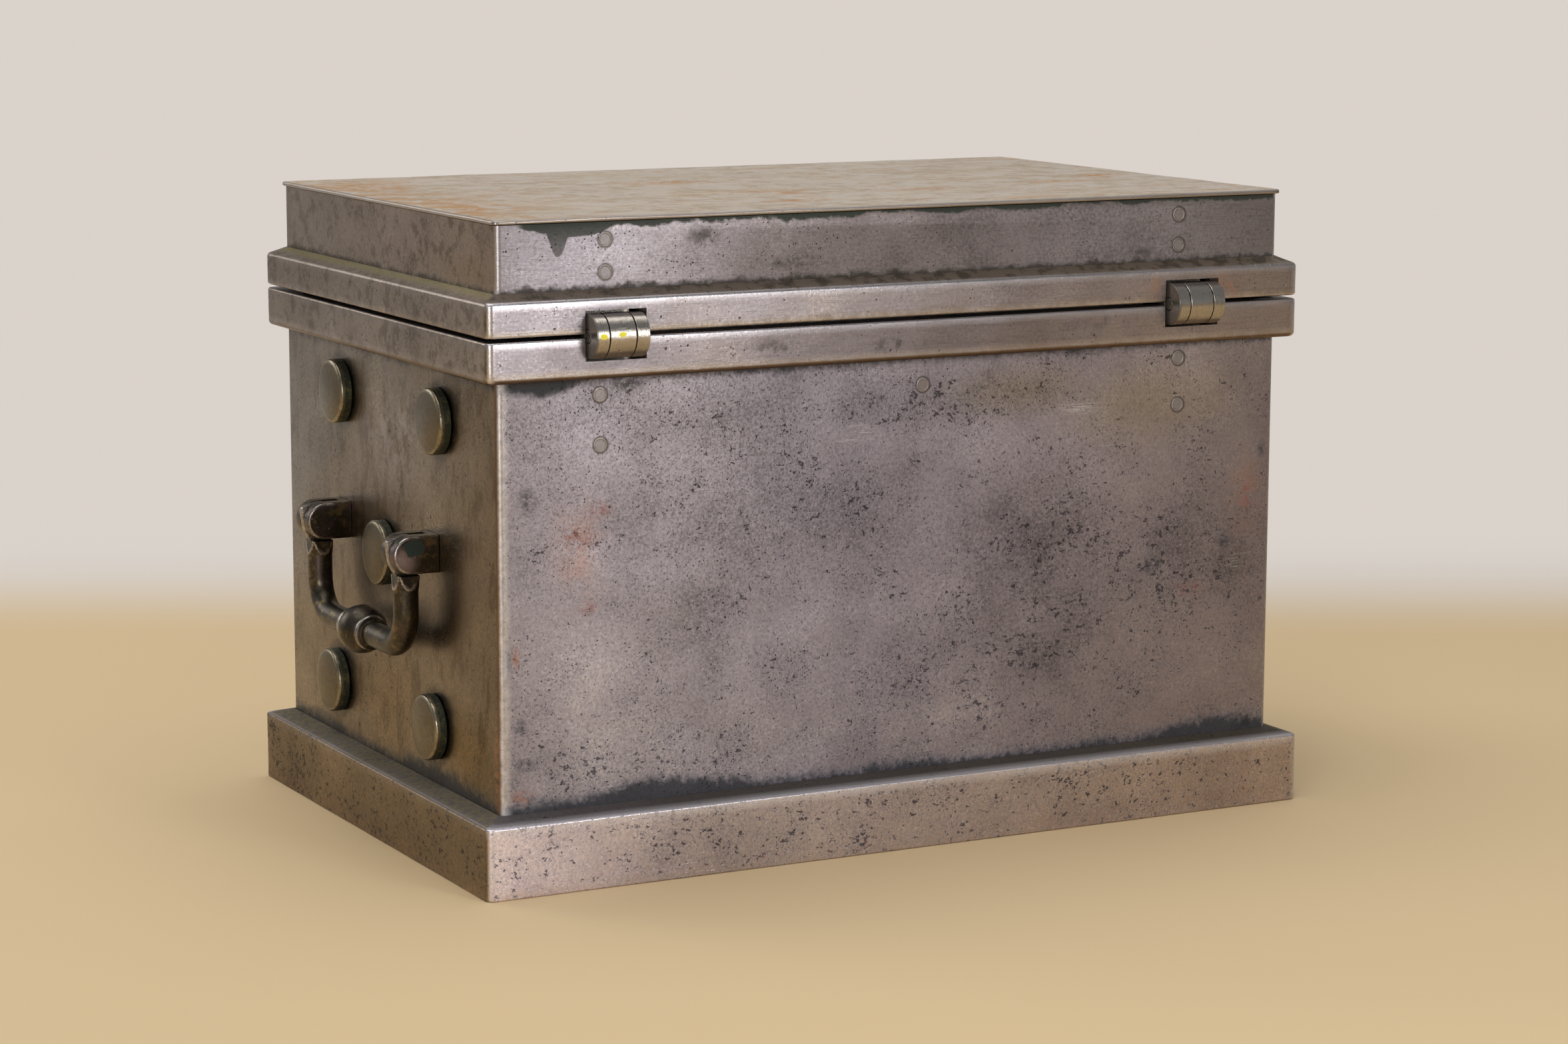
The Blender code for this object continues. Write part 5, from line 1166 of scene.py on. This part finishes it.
def build_rivet_rings(material):
    """The hammered rims of the flush rivets, as thin rings over the gap round each shank."""
    profile = [(2.35, 0.0, 0), (2.5, 0.05, 1), (2.75, 0.07, 1), (3.05, 0.05, 1), (3.3, 0.0, 0),
               (2.8, -0.1, 0)]
    for body, rivets in (("box", BODY_RIVETS), ("lid", LID_RIVETS)):
        shells = []
        for side, offset, height in rivets:
            place = side_place(side, offset, height, HALF_Y if side in ("front", "back") else HALF_X)
            rings = turned(profile, place, 40)
            shells.append((*loft(rings, looped=True), {"wear": [1.0] * (len(profile) * 40)}))
        mesh = build_mesh("rivet_rings_" + body, shells, 60.0)
        add_piece("rivet_rings_" + body, mesh, material, body, "hinge_steel")


def clean_group():
    """Geometry nodes that join split corners and set the smooth and sharp edges of a carried node."""
    tree = bpy.data.node_groups.new("clean_edges", "GeometryNodeTree")
    tree.interface.new_socket("Geometry", in_out="INPUT", socket_type="NodeSocketGeometry")
    tree.interface.new_socket("Geometry", in_out="OUTPUT", socket_type="NodeSocketGeometry")
    start = tree.nodes.new("NodeGroupInput")
    end = tree.nodes.new("NodeGroupOutput")
    merge = tree.nodes.new("GeometryNodeMergeByDistance")
    merge.inputs["Distance"].default_value = 5e-6
    drop = tree.nodes.new("GeometryNodeRemoveAttribute")
    drop.inputs["Name"].default_value = "custom_normal"
    smooth = tree.nodes.new("GeometryNodeSetShadeSmooth")
    sharp = tree.nodes.new("GeometryNodeSetShadeSmooth")
    sharp.domain = "EDGE"
    angle = tree.nodes.new("GeometryNodeInputMeshEdgeAngle")
    compare = tree.nodes.new("FunctionNodeCompare")
    compare.data_type = "FLOAT"
    compare.operation = "GREATER_THAN"
    compare.inputs["B"].default_value = math.radians(EDGE_ANGLE)
    links = tree.links
    links.new(start.outputs[0], merge.inputs["Geometry"])
    links.new(merge.outputs["Geometry"], drop.inputs["Geometry"])
    links.new(drop.outputs["Geometry"], smooth.inputs["Geometry"])
    links.new(smooth.outputs["Geometry"], sharp.inputs["Geometry"])
    links.new(angle.outputs["Unsigned Angle"], compare.inputs["A"])
    links.new(compare.outputs["Result"], sharp.inputs["Selection"])
    sharp.inputs["Shade Smooth"].default_value = False
    links.new(sharp.outputs["Geometry"], end.inputs[0])
    return tree


def dress(node, material, edge, clean):
    """Gives a carried node its material and rounds its edges by a modifier."""
    node.data.materials.clear()
    node.data.materials.append(material)
    tidy = node.modifiers.new("clean", "NODES")
    tidy.node_group = clean
    bevel = node.modifiers.new("worn_edge", "BEVEL")
    bevel.width = edge
    bevel.segments = 2
    bevel.limit_method = "ANGLE"
    bevel.angle_limit = math.radians(40)
    bevel.harden_normals = True


def view_way():
    """The level direction in which the camera looks."""
    yaw = math.radians(CAMERA_YAW)
    return Vector((math.cos(yaw), math.sin(yaw), 0))


def add_floor():
    """A pale floor that curves up into a backdrop behind the box."""
    way = view_way()
    across = Vector((-way.y, way.x, 0))
    reach, bend, height = 2.6, 1.4, 4.0
    side = [(-4.0, 0.0), (-1.0, 0.0), (0.0, 0.0), (1.0, 0.0)]
    side += [(reach + x, bend + z) for x, z in arc((0, 0), bend, -90, 0, 24)] + [(reach + bend, height)]
    points = [way * run + across * off + Vector((0, 0, z)) for off in (-6.0, 6.0) for run, z in side]
    count = len(side)
    faces = [(step, step + 1, count + step + 1, count + step) for step in range(count - 1)]
    mesh = bpy.data.meshes.new("floor")
    mesh.from_pydata(points, [], faces)
    mesh.shade_smooth()
    floor = bpy.data.objects.new("floor", mesh)
    bpy.context.scene.collection.objects.link(floor)
    g = Graph("floor_pale")
    run = g.add(g.times(g.x, way.x), g.times(g.y, way.y))
    away = g.step(run, 380, 760)
    material = g.finish(g.mix((0.735, 0.55, 0.315), (0.80, 0.77, 0.73), away), 0.0, 0.75)
    glow = g.node("ShaderNodeEmission")
    glow.inputs["Color"].default_value = (0.70, 0.645, 0.597, 1.0)
    seen = g.node("ShaderNodeLightPath").outputs["Is Camera Ray"]
    both = g.node("ShaderNodeMixShader")
    output = next(node for node in g.tree.nodes if node.type == "OUTPUT_MATERIAL")
    painted = output.inputs["Surface"].links[0].from_socket
    g.feed(both.inputs[0], g.times(seen, away))
    g.tree.links.new(painted, both.inputs[1])
    g.tree.links.new(glow.outputs[0], both.inputs[2])
    g.tree.links.new(both.outputs[0], output.inputs["Surface"])
    floor.data.materials.append(material)


def area_lamp(name, place, target, size, power, colour=(1.0, 1.0, 1.0)):
    lamp = bpy.data.lights.new(name, "AREA")
    lamp.shape = "RECTANGLE"
    lamp.size, lamp.size_y = size
    lamp.energy = power
    lamp.color = colour
    lamp_object = bpy.data.objects.new(name, lamp)
    lamp_object.location = place
    lamp_object.rotation_euler = (Vector(target) - Vector(place)).to_track_quat("-Z", "Y").to_euler()
    bpy.context.scene.collection.objects.link(lamp_object)


def add_light():
    world = bpy.data.worlds.new("studio")
    bpy.context.scene.world = world
    world.use_nodes = True
    background = world.node_tree.nodes["Background"]
    background.inputs["Color"].default_value = (0.95, 0.97, 1.0, 1.0)
    background.inputs["Strength"].default_value = 0.27
    area_lamp("key_window", (-0.30, 1.40, 0.46), (0.15, 0.12, 0.15), (0.30, 0.60), 4.5, (0.96, 0.98, 1.0))
    area_lamp("side_window", (1.6, 1.9, 0.62), (0.2, 0.1, 0.15), (0.7, 0.9), 13.0, (0.97, 0.99, 1.0))
    area_lamp("end_fill", (1.2, -1.5, 0.85), (0.2, 0.0, 0.12), (0.9, 0.9), 7.0, (1.0, 0.98, 0.95))
    area_lamp("top_fill", (0.2, -0.1, 2.7), (0.0, 0.0, 0.1), (2.6, 2.6), 44.0, (1.0, 0.99, 0.98))


def add_camera():
    camera = bpy.data.cameras.new("camera")
    camera.lens = CAMERA_LENS
    camera.sensor_width = SENSOR
    camera.sensor_fit = "HORIZONTAL"
    camera.clip_end = 50.0
    camera_object = bpy.data.objects.new("camera", camera)
    pitch = math.radians(CAMERA_PITCH)
    way = view_way() * math.cos(pitch) + Vector((0, 0, math.sin(pitch)))
    turn = way.to_track_quat("-Z", "Y").to_matrix().to_4x4()
    roll = Matrix.Rotation(math.radians(CAMERA_ROLL), 4, "Z")
    camera_object.matrix_world = Matrix.Translation(CAMERA_PLACE) @ turn @ roll
    bpy.context.scene.collection.objects.link(camera_object)
    bpy.context.scene.camera = camera_object


EDGES = {"body": 0.0003, "lid": 0.0003, "plinth": 0.0006, "rim": 0.0007, "top": 0.0004, "boss": 0.0004,
         "handle": 0.0005, "hinge": 0.0004, "inner": 0.0003}

materials = make_materials()
clean = clean_group()
for node_name, node in NODES.items():
    key = material_key(node_name)
    dress(node, materials[key], EDGES[key], clean)
build_bosses(materials["boss"])
for handle_side in ("right", "left"):
    build_lugs(handle_side, materials["handle"])
    build_bail(handle_side, materials["handle"])
build_mouldings(materials)
build_top(materials["top"])
build_rivet_rings(materials["ring"])
add_floor()
add_light()
add_camera()
bpy.context.scene.view_settings.view_transform = "Standard"
